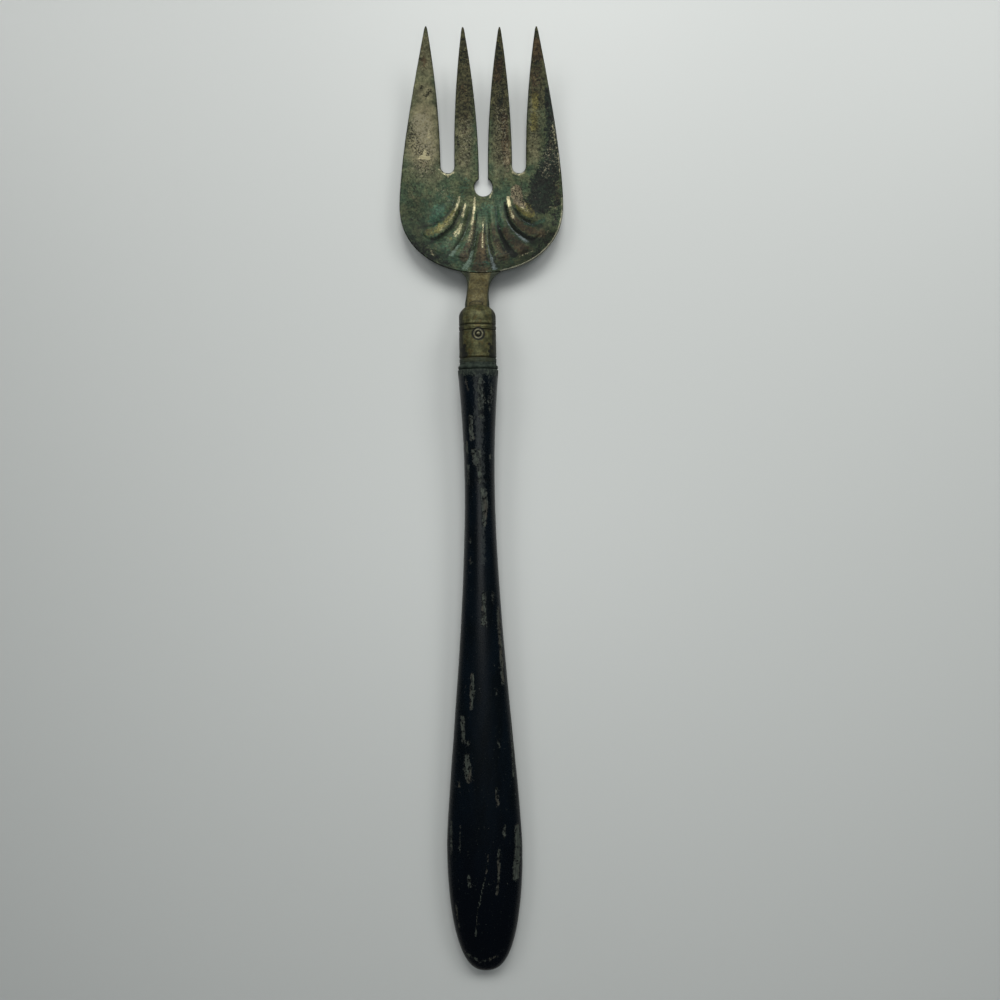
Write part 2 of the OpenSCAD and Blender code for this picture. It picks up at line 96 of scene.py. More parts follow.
class Signal:
    """One value that varies over a surface. Operators on it add Math nodes."""

    def __init__(self, finish, socket):
        self.finish, self.socket = finish, socket

    def maths(self, operation, first, second):
        return self.finish.node("Math", {"operation": operation}, {0: first, 1: second})

    def __add__(self, other):
        return self.maths("ADD", self, other)

    def __sub__(self, other):
        return self.maths("SUBTRACT", self, other)

    def __rsub__(self, other):
        return self.maths("SUBTRACT", other, self)

    def __mul__(self, other):
        return self.maths("MULTIPLY", self, other)

    def at_most(self, other):
        return self.maths("MINIMUM", self, other)

    def at_least(self, other):
        return self.maths("MAXIMUM", self, other)

    def rise(self, low, high):
        """A smooth step from 0 below low to 1 above high; low may be the larger one."""
        return self.finish.node("MapRange", {"interpolation_type": "SMOOTHSTEP"},
                                {"Value": self, "From Min": low, "From Max": high})

    __radd__ = __add__
    __rmul__ = __mul__


class Finish:
    """A material with a Principled shader, and the means to add nodes to it."""

    def __init__(self, name, **constants):
        self.material = bpy.data.materials.new(name)
        self.material.use_nodes = True
        self.tree = self.material.node_tree
        self.shader = self.tree.nodes["Principled BSDF"]
        for socket, value in constants.items():
            self.feed(self.shader.inputs[socket.replace("_", " ")], value)
        self.place = self.node("TexCoord", output="Object")

    def node(self, kind, settings=None, inputs=None, output=0):
        made = self.tree.nodes.new("ShaderNode" + kind)
        for name, value in (settings or {}).items():
            setattr(made, name, value)
        for key, value in (inputs or {}).items():
            self.feed(made.inputs[key], value)
        return Signal(self, made.outputs[output])

    def feed(self, socket, value):
        """Links a signal to a socket, or sets a number, or a colour by its code."""
        if isinstance(value, Signal):
            self.tree.links.new(value.socket, socket)
        else:
            socket.default_value = paint(value) if isinstance(value, str) else value

    def mix(self, factor, under, over):
        """Lays one colour over another."""
        return self.node("Mix", {"data_type": "RGBA"}, {0: factor, 6: under, 7: over}, output=2)

    def shade(self, colour, amount):
        """Multiplies a colour by an amount that may be over 1."""
        return self.node("Mix", {"data_type": "RGBA", "blend_type": "MULTIPLY"},
                         {0: 1.0, 6: colour, 7: amount}, output=2)

    def grain(self, scale, stretch=(1, 1, 1), detail=4.0, roughness=0.55, offset=(0, 0, 0)):
        """Noise in the object's own space: scale is in features a millimetre."""
        size = [scale * s / MM for s in stretch]
        spot = self.node("Mapping", inputs={"Vector": self.place, "Scale": size,
                                            "Location": offset})
        return self.node("TexNoise", inputs={"Vector": spot, "Scale": 1.0, "Detail": detail,
                                             "Roughness": roughness})

    def layer(self, name):
        """A layer that was painted on the mesh's vertices."""
        return self.node("Attribute", {"attribute_name": name}, output="Fac")

    def show(self, height=None, depth=0.0, **sockets):
        """Feeds the shader. Depth is that of the relief in millimetres."""
        for socket, value in sockets.items():
            self.feed(self.shader.inputs[socket.replace("_", " ")], value)
        if height is not None:
            bump = self.node("Bump", inputs={"Height": height, "Distance": depth * MM,
                                             "Strength": 1.0})
            self.feed(self.shader.inputs["Normal"], bump)
        print(self.material.name, len(self.tree.nodes), "nodes")


# %% [markdown]
# ## Meshes by operator
# Each new piece starts as a bmesh and is shaped by bmesh operators. Two helpers are used by all
# of them: one turns the finished bmesh into an object that stands in for its CAD node, and one
# puts a piece on the handle's axis, which leans and tips a little against the head.

# %% Helpers for pieces
AXIS_FOOT = Vector((-1.15, 58.712, 10.8))
AXIS_LEAN = math.radians(0.77)
AXIS_TIP = math.radians(1.884)
ON_AXIS = (Matrix.Translation(AXIS_FOOT) @ Matrix.Rotation(AXIS_LEAN, 4, "Z")
           @ Matrix.Rotation(AXIS_TIP + math.pi / 2, 4, "X"))
SHARP = math.radians(42)


def clamp(t):
    return max(0.0, min(1.0, t))


def smooth(t):
    t = clamp(t)
    return t * t * (3 - 2 * t)


def near(value, middle, reach):
    """1 at the middle, falling softly to 0 at its reach on both sides."""
    return smooth(1 - abs(value - middle) / reach)


def between(a, b, t):
    return a + (b - a) * t


def cosine(degrees):
    return math.cos(math.radians(degrees))


def sine(degrees):
    return math.sin(math.radians(degrees))


def make_piece(name, bm, finish, node, on_axis=False):
    """Scales the bmesh to metres and makes it the piece that stands for a CAD node."""
    if on_axis:
        bmesh.ops.transform(bm, matrix=ON_AXIS, verts=bm.verts)
    bmesh.ops.scale(bm, vec=(MM, MM, MM), verts=bm.verts)
    for face in bm.faces:
        face.smooth = True
    for edge in bm.edges:
        edge.smooth = edge.calc_face_angle(0) < SHARP
    mesh = bpy.data.meshes.new(name)
    bm.to_mesh(mesh)
    bm.free()
    mesh.materials.append(finish.material)
    piece = bpy.data.objects.new(name, mesh)
    bpy.context.scene.collection.objects.link(piece)
    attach(piece, "root")
    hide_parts(node)
    print(name, len(mesh.polygons), "faces")


def turn(profile, steps):
    """Spins a closed outline of (radius, place along Z) points about the Z axis."""
    bm = bmesh.new()
    corners = [bm.verts.new((radius, 0, along)) for radius, along in profile]
    edges = [bm.edges.new((a, b)) for a, b in zip(corners, corners[1:])]
    bmesh.ops.spin(bm, geom=corners + edges, cent=(0, 0, 0), axis=(0, 0, 1), dvec=(0, 0, 0),
                   angle=2 * math.pi, steps=steps, use_merge=True, use_duplicate=False)
    bmesh.ops.remove_doubles(bm, verts=bm.verts, dist=0.0005)
    bmesh.ops.recalc_face_normals(bm, faces=bm.faces)
    return bm


# %% [markdown]
# ## The head's form
# The head is one sheet: four tines, two U-ended slots, a keyhole slot, and a shell fan below.
# The same lanes run through all of it. Above, a lane follows its tine; below the keyhole it
# bends outwards as one line of the fan, and a lobe of the shell rises between every two grooves.
# A height field on a plain grid would cut the slots into stairs. Lanes put a row of vertices
# exactly on every edge and along every crest.

# %% Sizes of the head
head_low, head_high = (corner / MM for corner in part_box("fork_head"))
TIP_Y, HEEL_Y = head_high.y, head_low.y
HALF_BOWL = head_high.x
TIPS_TO_WIDEST, TIPS_TO_REST, TIPS_TO_KEYHOLE, TINE_LENGTH = 51.0, 53.0, 44.1, 40.25
WIDEST_Y, REST_Y = TIP_Y - TIPS_TO_WIDEST, TIP_Y - TIPS_TO_REST
SLOT_END_Y, KEYHOLE_Y = TIP_Y - TINE_LENGTH, TIP_Y - TIPS_TO_KEYHOLE
KEYHOLE_RADIUS, SLOT_RADIUS = 2.75, 2.075
FAN_Y = KEYHOLE_Y - KEYHOLE_RADIUS
MOUTH_Y, NECK_SHIFT, SWING_ABOVE_HEEL = AXIS_FOOT.y, -AXIS_FOOT.x, 5.3
TINE_PITCH, TIP_WIDTH, TONGUE_LENGTH = 10.8, 0.6, 11.5
MIDDLE_HALF, SLOT_SHIFT = 1.375, 0.55
SHOULDER_Y = KEYHOLE_Y + math.sqrt(KEYHOLE_RADIUS ** 2 - MIDDLE_HALF ** 2)
SHEET, TIP_SHEET = 1.4, 1.0
BOWL_DEPTH, HEEL_HEIGHT, TIP_HEIGHT = 5.0, 7.6, 12.0
RELIEF, HALF_FAN = 0.78, 4.5
print("tips at", round(TIP_Y, 2), "heel at", round(HEEL_Y, 2), "half width", round(HALF_BOWL, 2))


# %% Outline of the tines and slots
def up(y):
    """Share of the way from the slots' ends to the tips."""
    return max(0.0, (y - SLOT_END_Y) / TINE_LENGTH)


def tip_point(y):
    """Draws the last millimetre of each tine in to a rounded point."""
    return math.sqrt(max(0.0, 1 - 0.8 * max(0.0, (y - TIP_Y + 1.0)) ** 2))


def side_x(y):
    """Half width of the head, above its widest place."""
    reach = max(0.0, (y - WIDEST_Y) / TIPS_TO_WIDEST) ** 1.57
    return HALF_BOWL - (HALF_BOWL - 1.5 * TINE_PITCH - TIP_WIDTH / 2) * reach


def side_slot_half(y):
    if y <= SLOT_END_Y:
        return 0.0
    drop = max(0.0, SLOT_END_Y + SLOT_RADIUS - y)
    widening = ((TINE_PITCH - TIP_WIDTH) / 2 - SLOT_RADIUS) * up(y) ** 2.2
    return math.sqrt(max(0.0, SLOT_RADIUS ** 2 - drop ** 2)) + widening


def middle_slot_half(y):
    if y < SHOULDER_Y:
        return math.sqrt(max(0.0, KEYHOLE_RADIUS ** 2 - (y - KEYHOLE_Y) ** 2))
    return MIDDLE_HALF + ((TINE_PITCH - TIP_WIDTH) / 2 - MIDDLE_HALF) * up(y) ** 2


def swing_x(y):
    """Sideways slip of heel and neck towards the handle's axis."""
    start = HEEL_Y + SWING_ABOVE_HEEL
    return -NECK_SHIFT * smooth((start - y) / (start - MOUTH_Y))


print("gap at the tips", round(2 * side_slot_half(TIP_Y), 2))


# %% Depth of the bowl and height of the lobes
def floor_z(y):
    """Height of the bowl along its middle line. It rests on the table at REST_Y."""
    if y > REST_Y:
        return SHEET + (TIP_HEIGHT - SHEET) * ((y - REST_Y) / TIPS_TO_REST) ** 1.8
    return SHEET + (HEEL_HEIGHT - SHEET) * ((REST_Y - y) / (REST_Y - HEEL_Y)) ** 1.9


def face_z(x, y):
    """Height of the smooth bowl, before the ornament."""
    if y > WIDEST_Y:
        share = 1 - 0.75 * smooth((y - WIDEST_Y) / TIPS_TO_WIDEST)
    else:
        share = 1 - 0.3 * ((WIDEST_Y - y) / (WIDEST_Y - HEEL_Y)) ** 2
    return floor_z(y) + BOWL_DEPTH * share * (x / HALF_BOWL) ** 2


def sheet_at(y):
    return between(SHEET, TIP_SHEET, min(1.0, up(y)))


LOBE_STARTS = [0.3, 0.07, 0.05, 0.03, 0.03]
LOBE_ENDS = [0.88, 0.8, 0.86, 0.82, 0.65]
LOBE_SHARES = [1.0, 1.0, 1.0, 1.0, 0.6]


def relief(k, v):
    """Height of the ornament, 0 in a groove and 1 on a crest, at lobe k and share v of the fan."""
    i = min(4, round(k))
    t = 2 * abs(k - i)
    if t >= 1 or v <= 0:
        return 0.0
    finish = LOBE_ENDS[i] - 0.05 * t * t
    past = clamp((v - finish + 0.1) / 0.1)
    ridge = (0.5 + 0.5 * math.cos(math.pi * t)) ** 1.3
    body = between(ridge, 1 - t ** 2.2, smooth((v - 0.15) / 0.45))
    body *= smooth((v - LOBE_STARTS[i]) / 0.15)
    return LOBE_SHARES[i] * body * math.sqrt(1 - past * past) * between(0.6, 1, min(1, v / finish))


def groove(k, v):
    """Depth of the line between two lobes: 1 in its middle, 0 on the lobes."""
    line = min((n + 0.5 for n in range(4)), key=lambda n: abs(k - n))
    lobe = int(line - 0.5)
    start = max(LOBE_STARTS[lobe], LOBE_STARTS[lobe + 1])
    end = max(LOBE_ENDS[lobe], LOBE_ENDS[lobe + 1])
    along = smooth((v - start) / 0.15) * smooth((end + 0.05 - v) / 0.1)
    return near(k, line, 0.2) * along


print("bowl", round(face_z(HALF_BOWL, WIDEST_Y), 2), "high at its widest")


# %% [markdown]
# ## Lanes of the fan
# Every line of the fan is a curve with one bend: it leaves the keyhole's row, bends, and runs
# out to its own place on the rim. The rim below the widest place is a rounded heel curve.

# %% Rim and fan lines
LINE_STEP, SIDE_RUN = 22, 20  # degrees between two lines at the rim, and mm for a turn past 1


def rim(q):
    """Point of the rim at q quarter turns from the heel, and on up the side past 1."""
    if q > 1:
        y = WIDEST_Y + SIDE_RUN * (q - 1)
        return Vector((side_x(y), y))
    turned = math.radians(90 * q)
    drop = max(0.0, math.cos(turned)) ** (2 / 2.2)
    return Vector((HALF_BOWL * math.sin(turned), WIDEST_Y - (WIDEST_Y - HEEL_Y) * drop))


def fan_q(k):
    """Where line k of the fan meets the rim."""
    return LINE_STEP * k * (1 - 0.12 * (k / HALF_FAN) ** 4) / 90


def fan_bend(k):
    """The one bend of line k."""
    run = FAN_Y - HEEL_Y
    return Vector((HALF_BOWL * k * (0.082 + 0.0074 * k), FAN_Y - run * (0.608 - 0.0156 * k * k)))


print("middle lobe", round(FAN_Y - HEEL_Y, 2), "long")

# %% Points along the lanes
CORNER_Q = 1.1  # the outermost lane ends just above the widest place


def tine_point(side, outer, share, y):
    """Point of a lane at a height among the tines. Vertices crowd towards the edges."""
    if outer:
        inner_x, outer_x = TINE_PITCH + side_slot_half(y), side_x(y)
    else:
        inner_x, outer_x = middle_slot_half(y), TINE_PITCH - side_slot_half(y)
    crowd = 0.6 * smooth((y - FAN_Y) / 8)
    crowded = between(share, (1 - math.cos(math.pi * share)) / 2, crowd)
    if outer:
        crowded = between(crowded, 1 - (1 - crowded) ** 1.6, 0.7 * (1 - crowd))
    middle = (inner_x + outer_x) / 2
    half = (outer_x - inner_x) / 2 * tip_point(y)
    shift = SLOT_SHIFT * (1 - min(1, up(y))) * ((1 - share) if outer else 1)
    return Vector((side * (middle + (2 * crowded - 1) * half) + shift, y))


def fan_point(side, outer, share, v):
    """Point of a lane at a share v of the way down the fan."""
    start = tine_point(side, outer, share, FAN_Y)
    corner = rim(CORNER_Q)
    if outer:
        share = 1 - (1 - share) ** 1.3
        q = between(fan_q(HALF_FAN), CORNER_Q, share)
        bend = fan_bend(HALF_FAN).lerp(Vector((corner.x, (FAN_Y + corner.y) / 2)), share)
    else:
        q, bend = fan_q(share * HALF_FAN), fan_bend(share * HALF_FAN)
    end = rim(q)
    bend, end = Vector((side * bend.x, bend.y)), Vector((side * end.x, end.y))
    return start * (1 - v) ** 2 + bend * (2 * v * (1 - v)) + end * v * v


# %% [markdown]
# ## The blank, cut and pressed
# As the maker did, the head starts as a flat blank. A grid gives one column to each lane and one
# row to each height. The columns that lie in the slots are cut away, every vertex moves to its
# place on the outline, and the columns that meet below a slot are welded. The welded sheet is
# extruded to get its back and its edge, and only then pressed to its depth.

# %% Rows and columns of the blank
OUTER_CELLS, FAN_CELLS = 12, 54
TINE_ROWS, SLOT_ROWS, KEY_ROWS, FAN_ROWS = 84, 10, 20, 96


def arc(t):
    """Even steps along a quarter of a circle, as shares of its height."""
    return 1 - math.cos(math.pi / 2 * t)


columns = ([(-1, True, 1 - i / OUTER_CELLS) for i in range(OUTER_CELLS + 1)]
           + [(-1, False, 1 - i / FAN_CELLS) for i in range(FAN_CELLS + 1)]
           + [(1, False, i / FAN_CELLS) for i in range(FAN_CELLS + 1)]
           + [(1, True, i / OUTER_CELLS) for i in range(OUTER_CELLS + 1)])
cut_columns = {OUTER_CELLS, OUTER_CELLS + FAN_CELLS + 1, OUTER_CELLS + 2 * FAN_CELLS + 2}

slot_top = SLOT_END_Y + SLOT_RADIUS
heights = [between(TIP_Y, slot_top, (i / TINE_ROWS) ** 1.25) for i in range(TINE_ROWS + 1)]
heights += [SLOT_END_Y + SLOT_RADIUS * arc(1 - i / SLOT_ROWS) for i in range(1, SLOT_ROWS + 1)]
heights += [between(SLOT_END_Y, SHOULDER_Y, i / 4) for i in range(1, 4)]
heights += [KEYHOLE_Y + KEYHOLE_RADIUS * cosine(between(30, 180, i / KEY_ROWS))
            for i in range(KEY_ROWS + 1)]
rows = [(y, None) for y in heights] + [(None, i / FAN_ROWS) for i in range(1, FAN_ROWS + 1)]
print(len(columns), "columns,", len(rows), "rows")

# %% Cut and weld the blank
blank = bmesh.new()
column_of = blank.verts.layers.int.new("column")
row_of = blank.verts.layers.int.new("row")
inset_of, groove_of, lobe_of, down_of, facing_of = [
    blank.verts.layers.float.new(name) for name in ("inset", "groove", "lobe", "down", "facing")]
bmesh.ops.create_grid(blank, x_segments=len(columns) - 1, y_segments=len(rows) - 1, size=0.5)
for vert in blank.verts:
    vert[column_of] = round((vert.co.x + 0.5) * (len(columns) - 1))
    vert[row_of] = round((0.5 - vert.co.y) * (len(rows) - 1))
slots = [face for face in blank.faces if min(v[column_of] for v in face.verts) in cut_columns]
bmesh.ops.delete(blank, geom=slots, context="FACES")
for vert in blank.verts:
    lane, (y, v) = columns[vert[column_of]], rows[vert[row_of]]
    spot = tine_point(*lane, y) if v is None else fan_point(*lane, v)
    vert.co = Vector((spot.x, spot.y, 0))
bmesh.ops.remove_doubles(blank, verts=blank.verts, dist=0.0004)
print("blank:", len(blank.verts), "vertices")

# %% Distance of every vertex from the nearest edge
rim_edges = [edge for edge in blank.edges if edge.is_boundary]
curtain_points, curtain_faces = [], []
for edge in rim_edges:
    a, b = edge.verts[0].co, edge.verts[1].co
    first = len(curtain_points)
    curtain_points += [(a.x, a.y, -1), (b.x, b.y, -1), (b.x, b.y, 1), (a.x, a.y, 1)]
    curtain_faces.append((first, first + 1, first + 2, first + 3))
curtain = BVHTree.FromPolygons(curtain_points, curtain_faces)
for vert in blank.verts:
    vert[inset_of] = curtain.find_nearest(vert.co)[3]
print("rim:", len(rim_edges), "edges")

# %% Give the sheet its back, and press it
EDGE_ROUND, BACK_SHARE = 0.45, 0.6
made = bmesh.ops.extrude_face_region(blank, geom=blank.faces[:], use_keep_orig=True)["geom"]
for element in made:
    if isinstance(element, bmesh.types.BMVert):
        element[facing_of] = 1.0
for vert in blank.verts:
    side, outer, share = columns[vert[column_of]]
    v = rows[vert[row_of]][1] or 0.0
    k = HALF_FAN if outer else share * HALF_FAN
    x, y = vert.co.x, vert.co.y
    crest = 0.0 if outer else relief(k, v)
    if side < 0 and k > 3.5:
        crest *= 0.5  # the outermost lobe on the left is fainter
    vert[lobe_of], vert[down_of] = side * k, v
    vert[groove_of] = 0.0 if outer else groove(k, v)
    sink = max(0.0, 1 - vert[inset_of] / EDGE_ROUND)
    drop = EDGE_ROUND * (1 - math.sqrt(1 - min(1.0, sink) ** 2))
    wave = 0.07 * noise.noise(Vector((x, y, 3)) * 0.16)
    wave += 0.02 * noise.noise(Vector((x, y, 9)) * 0.6)
    wave *= min(1.0, vert[inset_of])
    if vert[facing_of] > 0.5:
        z = face_z(x, y) + RELIEF * crest - drop + wave
    else:
        clear_of_tongue = smooth((y - HEEL_Y - TONGUE_LENGTH) / 1.5) if k < 1.5 else 1.0
        hollow = RELIEF * crest * BACK_SHARE * clear_of_tongue
        z = face_z(x, y) - sheet_at(y) + hollow + drop + wave
    vert.co = Vector((x + swing_x(y), y, z))
bmesh.ops.recalc_face_normals(blank, faces=blank.faces)
print("head:", len(blank.faces), "faces")

# %% [markdown]
# ## Where the tarnish went
# Tarnish isn't even. Fingers and cleaning cloths keep the crests and the outer tines bright, the
# grooves hold green powder, and one side has gone to slate. Noise alone would put all of this
# anywhere, so it is brushed on in broad marks: dabs, given by their place on the sheet,
# and strokes that run down the shell's own lobes and grooves. The marks are kept as layers on
# the vertices, and the shader breaks their edges up with noise, so that none looks brushed.
# The bright crests, tips and rim are partly that wear and partly painted highlights and glints.

# %% Brush marks
# A mark is its strength and a line of spots: "0.7 -5.4,112,3.6 -5.4,104,3.4". On the sheet a
# spot is x,y,radius. On the fan it is lobe, share of the way down, half width in lobes.
SHEET_MARKS = {
    "umber": """
    1 -5,140,4 -5.2,128,4 -5.2,116,4; 0.7 -5.4,112,3.6 -5.4,104,3.4;
    1 5.2,140,4 5.2,128,4 5.6,116,4; 0.8 5.8,112,3.6 5.8,104,3;
    0.9 16.2,140,4 16.4,128,4 17,120,4; 0.5 16,116,3.4 16,106,3; 0.6 -16.6,139,3 -16.8,131,3.4;
    0.4 22.5,110,2 23.2,96,2""",
    "silver": """
    0.5 -16.7,136,3 -16.9,128,4; 0.8 -17,122,4; 1 -17,116,5 -17.2,106,6.5;
    0.38 -18,101,5 -15,99,4; 0.42 15.4,120,1.6 15.6,104,2.2; 0.33 -5.4,112,3.6 -5.4,101,3.6;
    0.35 6,112,3.4 6,101,3.6""",
    "brown": """
    0.9 -16.9,131,1.2; 0.5 -17.3,134.5,0.8 -17,128.4,0.8; 0.5 -5.2,124.5,2 -4.9,120,2;
    0.5 -5.4,116,2 -5,112,2; 1 5.2,130.5,1.8 4.8,126.5,1.8;
    0.8 6.8,116,1.6 7.2,109,1.8 7.6,103,1.6; 1 16.2,135.6,1.8 16.3,132,2.4;
    0.6 16.4,128,2.6 16,122,2; 0.8 20.6,117,0.9 20.9,113.6,0.8; 0.7 22.9,96,1.2 22.6,89,1""",
    "ochre": """
    0.9 16,121.4,1.5 16.1,118,1.4; 1 15.8,115.4,1.6 15.8,112,1.5; 0.5 5,136,1; 0.45 15,108,1.2;
    1.9 11.6,90.2,1.5 13.2,88.8,2 14.8,87.2,1.4""",
    "slate": """
    0.55 -5.2,136.6,1.6 -5.1,131,2; 0.5 5.2,137,1.4 5.3,132.6,1.8;
    0.65 5.8,122.6,1.6 5.9,119.8,1.4; 0.5 -6.9,110,1.1 -6.7,107.6,1; 0.8 16.6,130.4,1.4;
    0.6 16.2,138,1.3; 0.85 19.3,123.2,0.8 20.2,118,1.8 20.8,112,2.6 21.2,106,3.5 20.8,101,4.5;
    1.2 20.4,100,4.4 18.4,96,5.2 17.8,90.6,4.8; 0.7 22.8,92,1.6 22,84,1.6;
    0.6 20.5,79,3.4 16,73.5,2.2; 0.7 -20.4,79,2.4 -17,75.5,2.4 -10,71.2,2""",
    "tan": """
    1.5 10.2,94.8,1.7 10.8,92.8,2.2 10.9,91.4,1.6; 1.1 10.6,91.6,1.8 12.6,90.2,1.4;
    0.45 -15.2,95.6,0.8 -13,94.2,0.8; 0.4 -12,93.6,0.8 -9.8,91.4,0.9;
    0.5 -18.4,102.4,2.4 -15,100.4,2; 0.65 7.6,106,1.3 7.6,101,1.4; 0.5 20.4,108,0.8 20.2,102,0.8;
    0.4 -20.6,93,1 -19.4,90,1; 0.3 21.6,98,1.4 22.2,94,1.4""",
    # Painted shade, darkening the lower bowl towards the heel:
    "lower_bowl_shade": """
    0.7 -20,78.5,5 -14,73.5,4.6; 0.55 -12,72,4.2 0,70.5,4 3,70.5,4; 0.9 4,70.5,3.6 13,73,4.6;
    1.1 14,73.5,5.2 20.4,78.5,5.2; 0.7 8,80,6 14,83,6; 0.45 -19,88,6 -20,82,5""",
    "teal": """
    0.95 -12.6,88.4,3.2 -14.4,85,2.4; 0.6 -9.4,92.8,1.6 -9.8,90,1.4;
    0.6 -5.4,97.6,2.2 -5.6,93.4,2.4; 0.7 1,90,2 4.2,88,2.6 5.2,84.6,2;
    0.85 13.2,84.4,0.9 15.6,83.8,1 19,85.4,1; 0.6 -15,78.6,3.4 -8,73,2.8; 0.5 -3,71.4,2 3,71.4,2;
    0.6 9.5,72.8,2.4; 0.4 -19,92,3 -20,84,3; 0.5 6.6,98,2.4 9,92,2""",
    "pepper": """
    1.3 -17.6,123.5,0.9; 1.3 -15.5,122.7,0.8 -16.9,121,0.8;
    0.9 -21.5,112,2 -19.6,107.5,3 -17,105,3; 0.7 -17,101.5,4; 0.6 -5,122,3 -5,106,3;
    0.8 5.4,130,3 6,106,3; 0.6 16,130,3 16.4,108,3; 0.5 -20,96,4 -20,84,4; 0.5 22,100,3;
    0.9 11,94,2.6 14,89,2.2""",
    "salt": """
    1.6 -18,114,4 -17,106,4.5; 1.2 -17.5,101,4; 0.9 5.6,118,2.4 7,104,2.4;
    0.9 19.6,105,2.2 19.4,99,2.6; 0.9 -4.8,114,2.6 -5,104,2.6; 0.3 17.5,93,3;
    0.4 -13,97,3 -9,94,3; 0.9 21.6,113,1.6 22.8,102,1.6""",
    # Bare metal, partly real wear and partly painted highlights and glints on the tips, slot ends
    # and rim:
    "worn_and_glint": """
    1.4 -18.2,103.7,0.6 -15.9,103.7,0.7; 1.3 -16.8,104.4,0.8 -16.6,106.2,0.5;
    0.9 -15.6,111.4,0.8 -16.2,109.4,0.7; 1 3.3,94.9,0.3 2.5,92.6,0.35;
    0.5 -14.6,95.2,0.6 -13.2,94.4,0.6; 0.5 -12,93.6,0.6 -10,91.6,0.7; 0.8 9.6,95.2,0.8;
    0.6 10.6,93.8,1 11.2,92.2,0.9; 0.6 12.2,89.8,0.9 13.8,88.4,1;
    0.8 20.4,88.8,0.25 22.2,88.5,0.3; 0.9 14.6,95.4,0.35; 0.6 21.3,112.6,0.6 22,107.4,0.6;
    0.9 22.9,104.6,0.35 23.5,99,0.35; 0.6 24,94,0.3 24.1,88,0.3 23.3,81.4,0.35 21.6,77.4,0.4;
    0.9 -12.7,102,0.5 -12,99.9,0.6 -10.2,99,0.6 -8.5,99.9,0.6;
    0.8 8.9,101.9,0.5 9.6,99.9,0.6 11.4,99,0.6 13.1,99.9,0.6; 1.4 -16.2,140.8,0.9;
    1.2 16.2,140.8,0.8; 0.5 -22,106,0.7 -20.6,110,0.8; 0.6 7.9,104,0.5 7.6,101.4,0.5;
    0.7 -22.6,110.6,0.35 -22.2,112.4,0.3; 0.6 -9,99.4,0.4 -10,98.4,0.4""",
}
FAN_MARKS = {
    # Bare metal on the crests, partly real wear and partly painted highlights, with a painted
    # reflection along the lower rim:
    "worn_and_glint": """
    1 -1.1,0.04,0.2 -1.1,0.3,0.22; 0.55 -1,0.32,0.2 -0.9,0.56,0.16;
    0.9 -2.2,0.1,0.16 -2.2,0.24,0.24; 0.75 -1.95,0.38,0.22 -1.95,0.52,0.3;
    0.6 -2.4,0.86,0.1 -1.9,0.92,0.1; 0.75 -3,0.02,0.2 -3.1,0.2,0.24;
    0.5 -3,0.3,0.24 -2.9,0.6,0.2; 0.7 0.05,0.28,0.1 0.05,0.6,0.14; 0.45 1,0.5,0.12 1,0.7,0.16;
    0.6 1.6,0.87,0.1 2.1,0.9,0.1; 1.2 3.1,-0.02,0.26 3.15,0.13,0.28;
    0.7 3.1,0.16,0.24 3.05,0.34,0.24; 0.5 3,0.84,0.24 3.2,0.88,0.24; 1.2 0.7,1,0.12 4.45,1,0.13;
    0.4 2.1,0.08,0.12 2,0.3,0.12; 0.5 -0.4,0.985,0.1 0.45,0.985,0.1""",
    "powder": """
    0.7 -1.42,0.3,0.05 -1.4,0.55,0.07; 0.75 -1.4,0.6,0.09 -1.38,0.8,0.16;
    0.7 -0.5,0.36,0.05 -0.5,0.6,0.07; 0.8 -0.5,0.66,0.1 -0.56,0.95,0.18;
    0.7 0.42,0.26,0.06 0.42,0.7,0.08; 0.75 0.42,0.7,0.1 0.5,0.95,0.13;
    0.75 2.42,0.3,0.06 2.45,0.6,0.1; 0.8 2.45,0.62,0.13 2.42,0.76,0.13;
    0.6 3.5,0.46,0.06 3.5,0.68,0.08; 0.5 -2.45,0.1,0.06 -2.5,0.3,0.06;
    0.5 1.55,0.06,0.06 1.6,0.4,0.1; 0.6 -3.6,0,0.1 -3.6,0.16,0.1""",
    "ochre": """
    0.85 -3.15,0.26,0.34 -3,0.76,0.34; 0.5 -2,0.4,0.3 -2,0.6,0.3; 0.4 3.1,0.2,0.3 3.1,0.5,0.3""",
    "slate": """
    1.2 1.5,0.36,0.16 1.45,0.82,0.24; 1.2 2.66,0.1,0.16 2.66,0.8,0.14;
    0.8 -0.7,0.2,0.1 -0.66,0.7,0.1; 0.8 0.24,0.3,0.1 0.24,0.85,0.1;
    0.8 -2.66,0.2,0.12 -2.6,0.78,0.14; 0.7 0.62,0.3,0.1 0.64,0.8,0.1;
    0.6 -1.62,0.2,0.1 -1.6,0.6,0.1; 0.8 3.66,0.2,0.12 3.66,0.6,0.12; 0.6 1.2,0.6,0.1 1.2,0.8,0.1;
    0.7 2.9,-0.04,0.1 2.84,0.2,0.1""",
    "brown": """
    0.8 -0.85,0.3,0.3 -0.8,0.8,0.35; 0.75 1,0.35,0.35 1,0.8,0.4;
    0.9 1.95,0.45,0.4 1.95,0.82,0.45; 1.2 0,0.45,0.34 0,0.93,0.42; 0.85 3.1,0.2,0.4 3.1,0.84,0.4;
    0.4 -2.4,0.6,0.5 -2,0.84,0.5""",
}
LAYERS = ("umber", "silver", "brown", "ochre", "tan", "slate", "teal", "lower_bowl_shade", "pepper", "salt",
          "worn_and_glint", "powder")
FAN_STRETCH, FADE = 5.0, 1.3


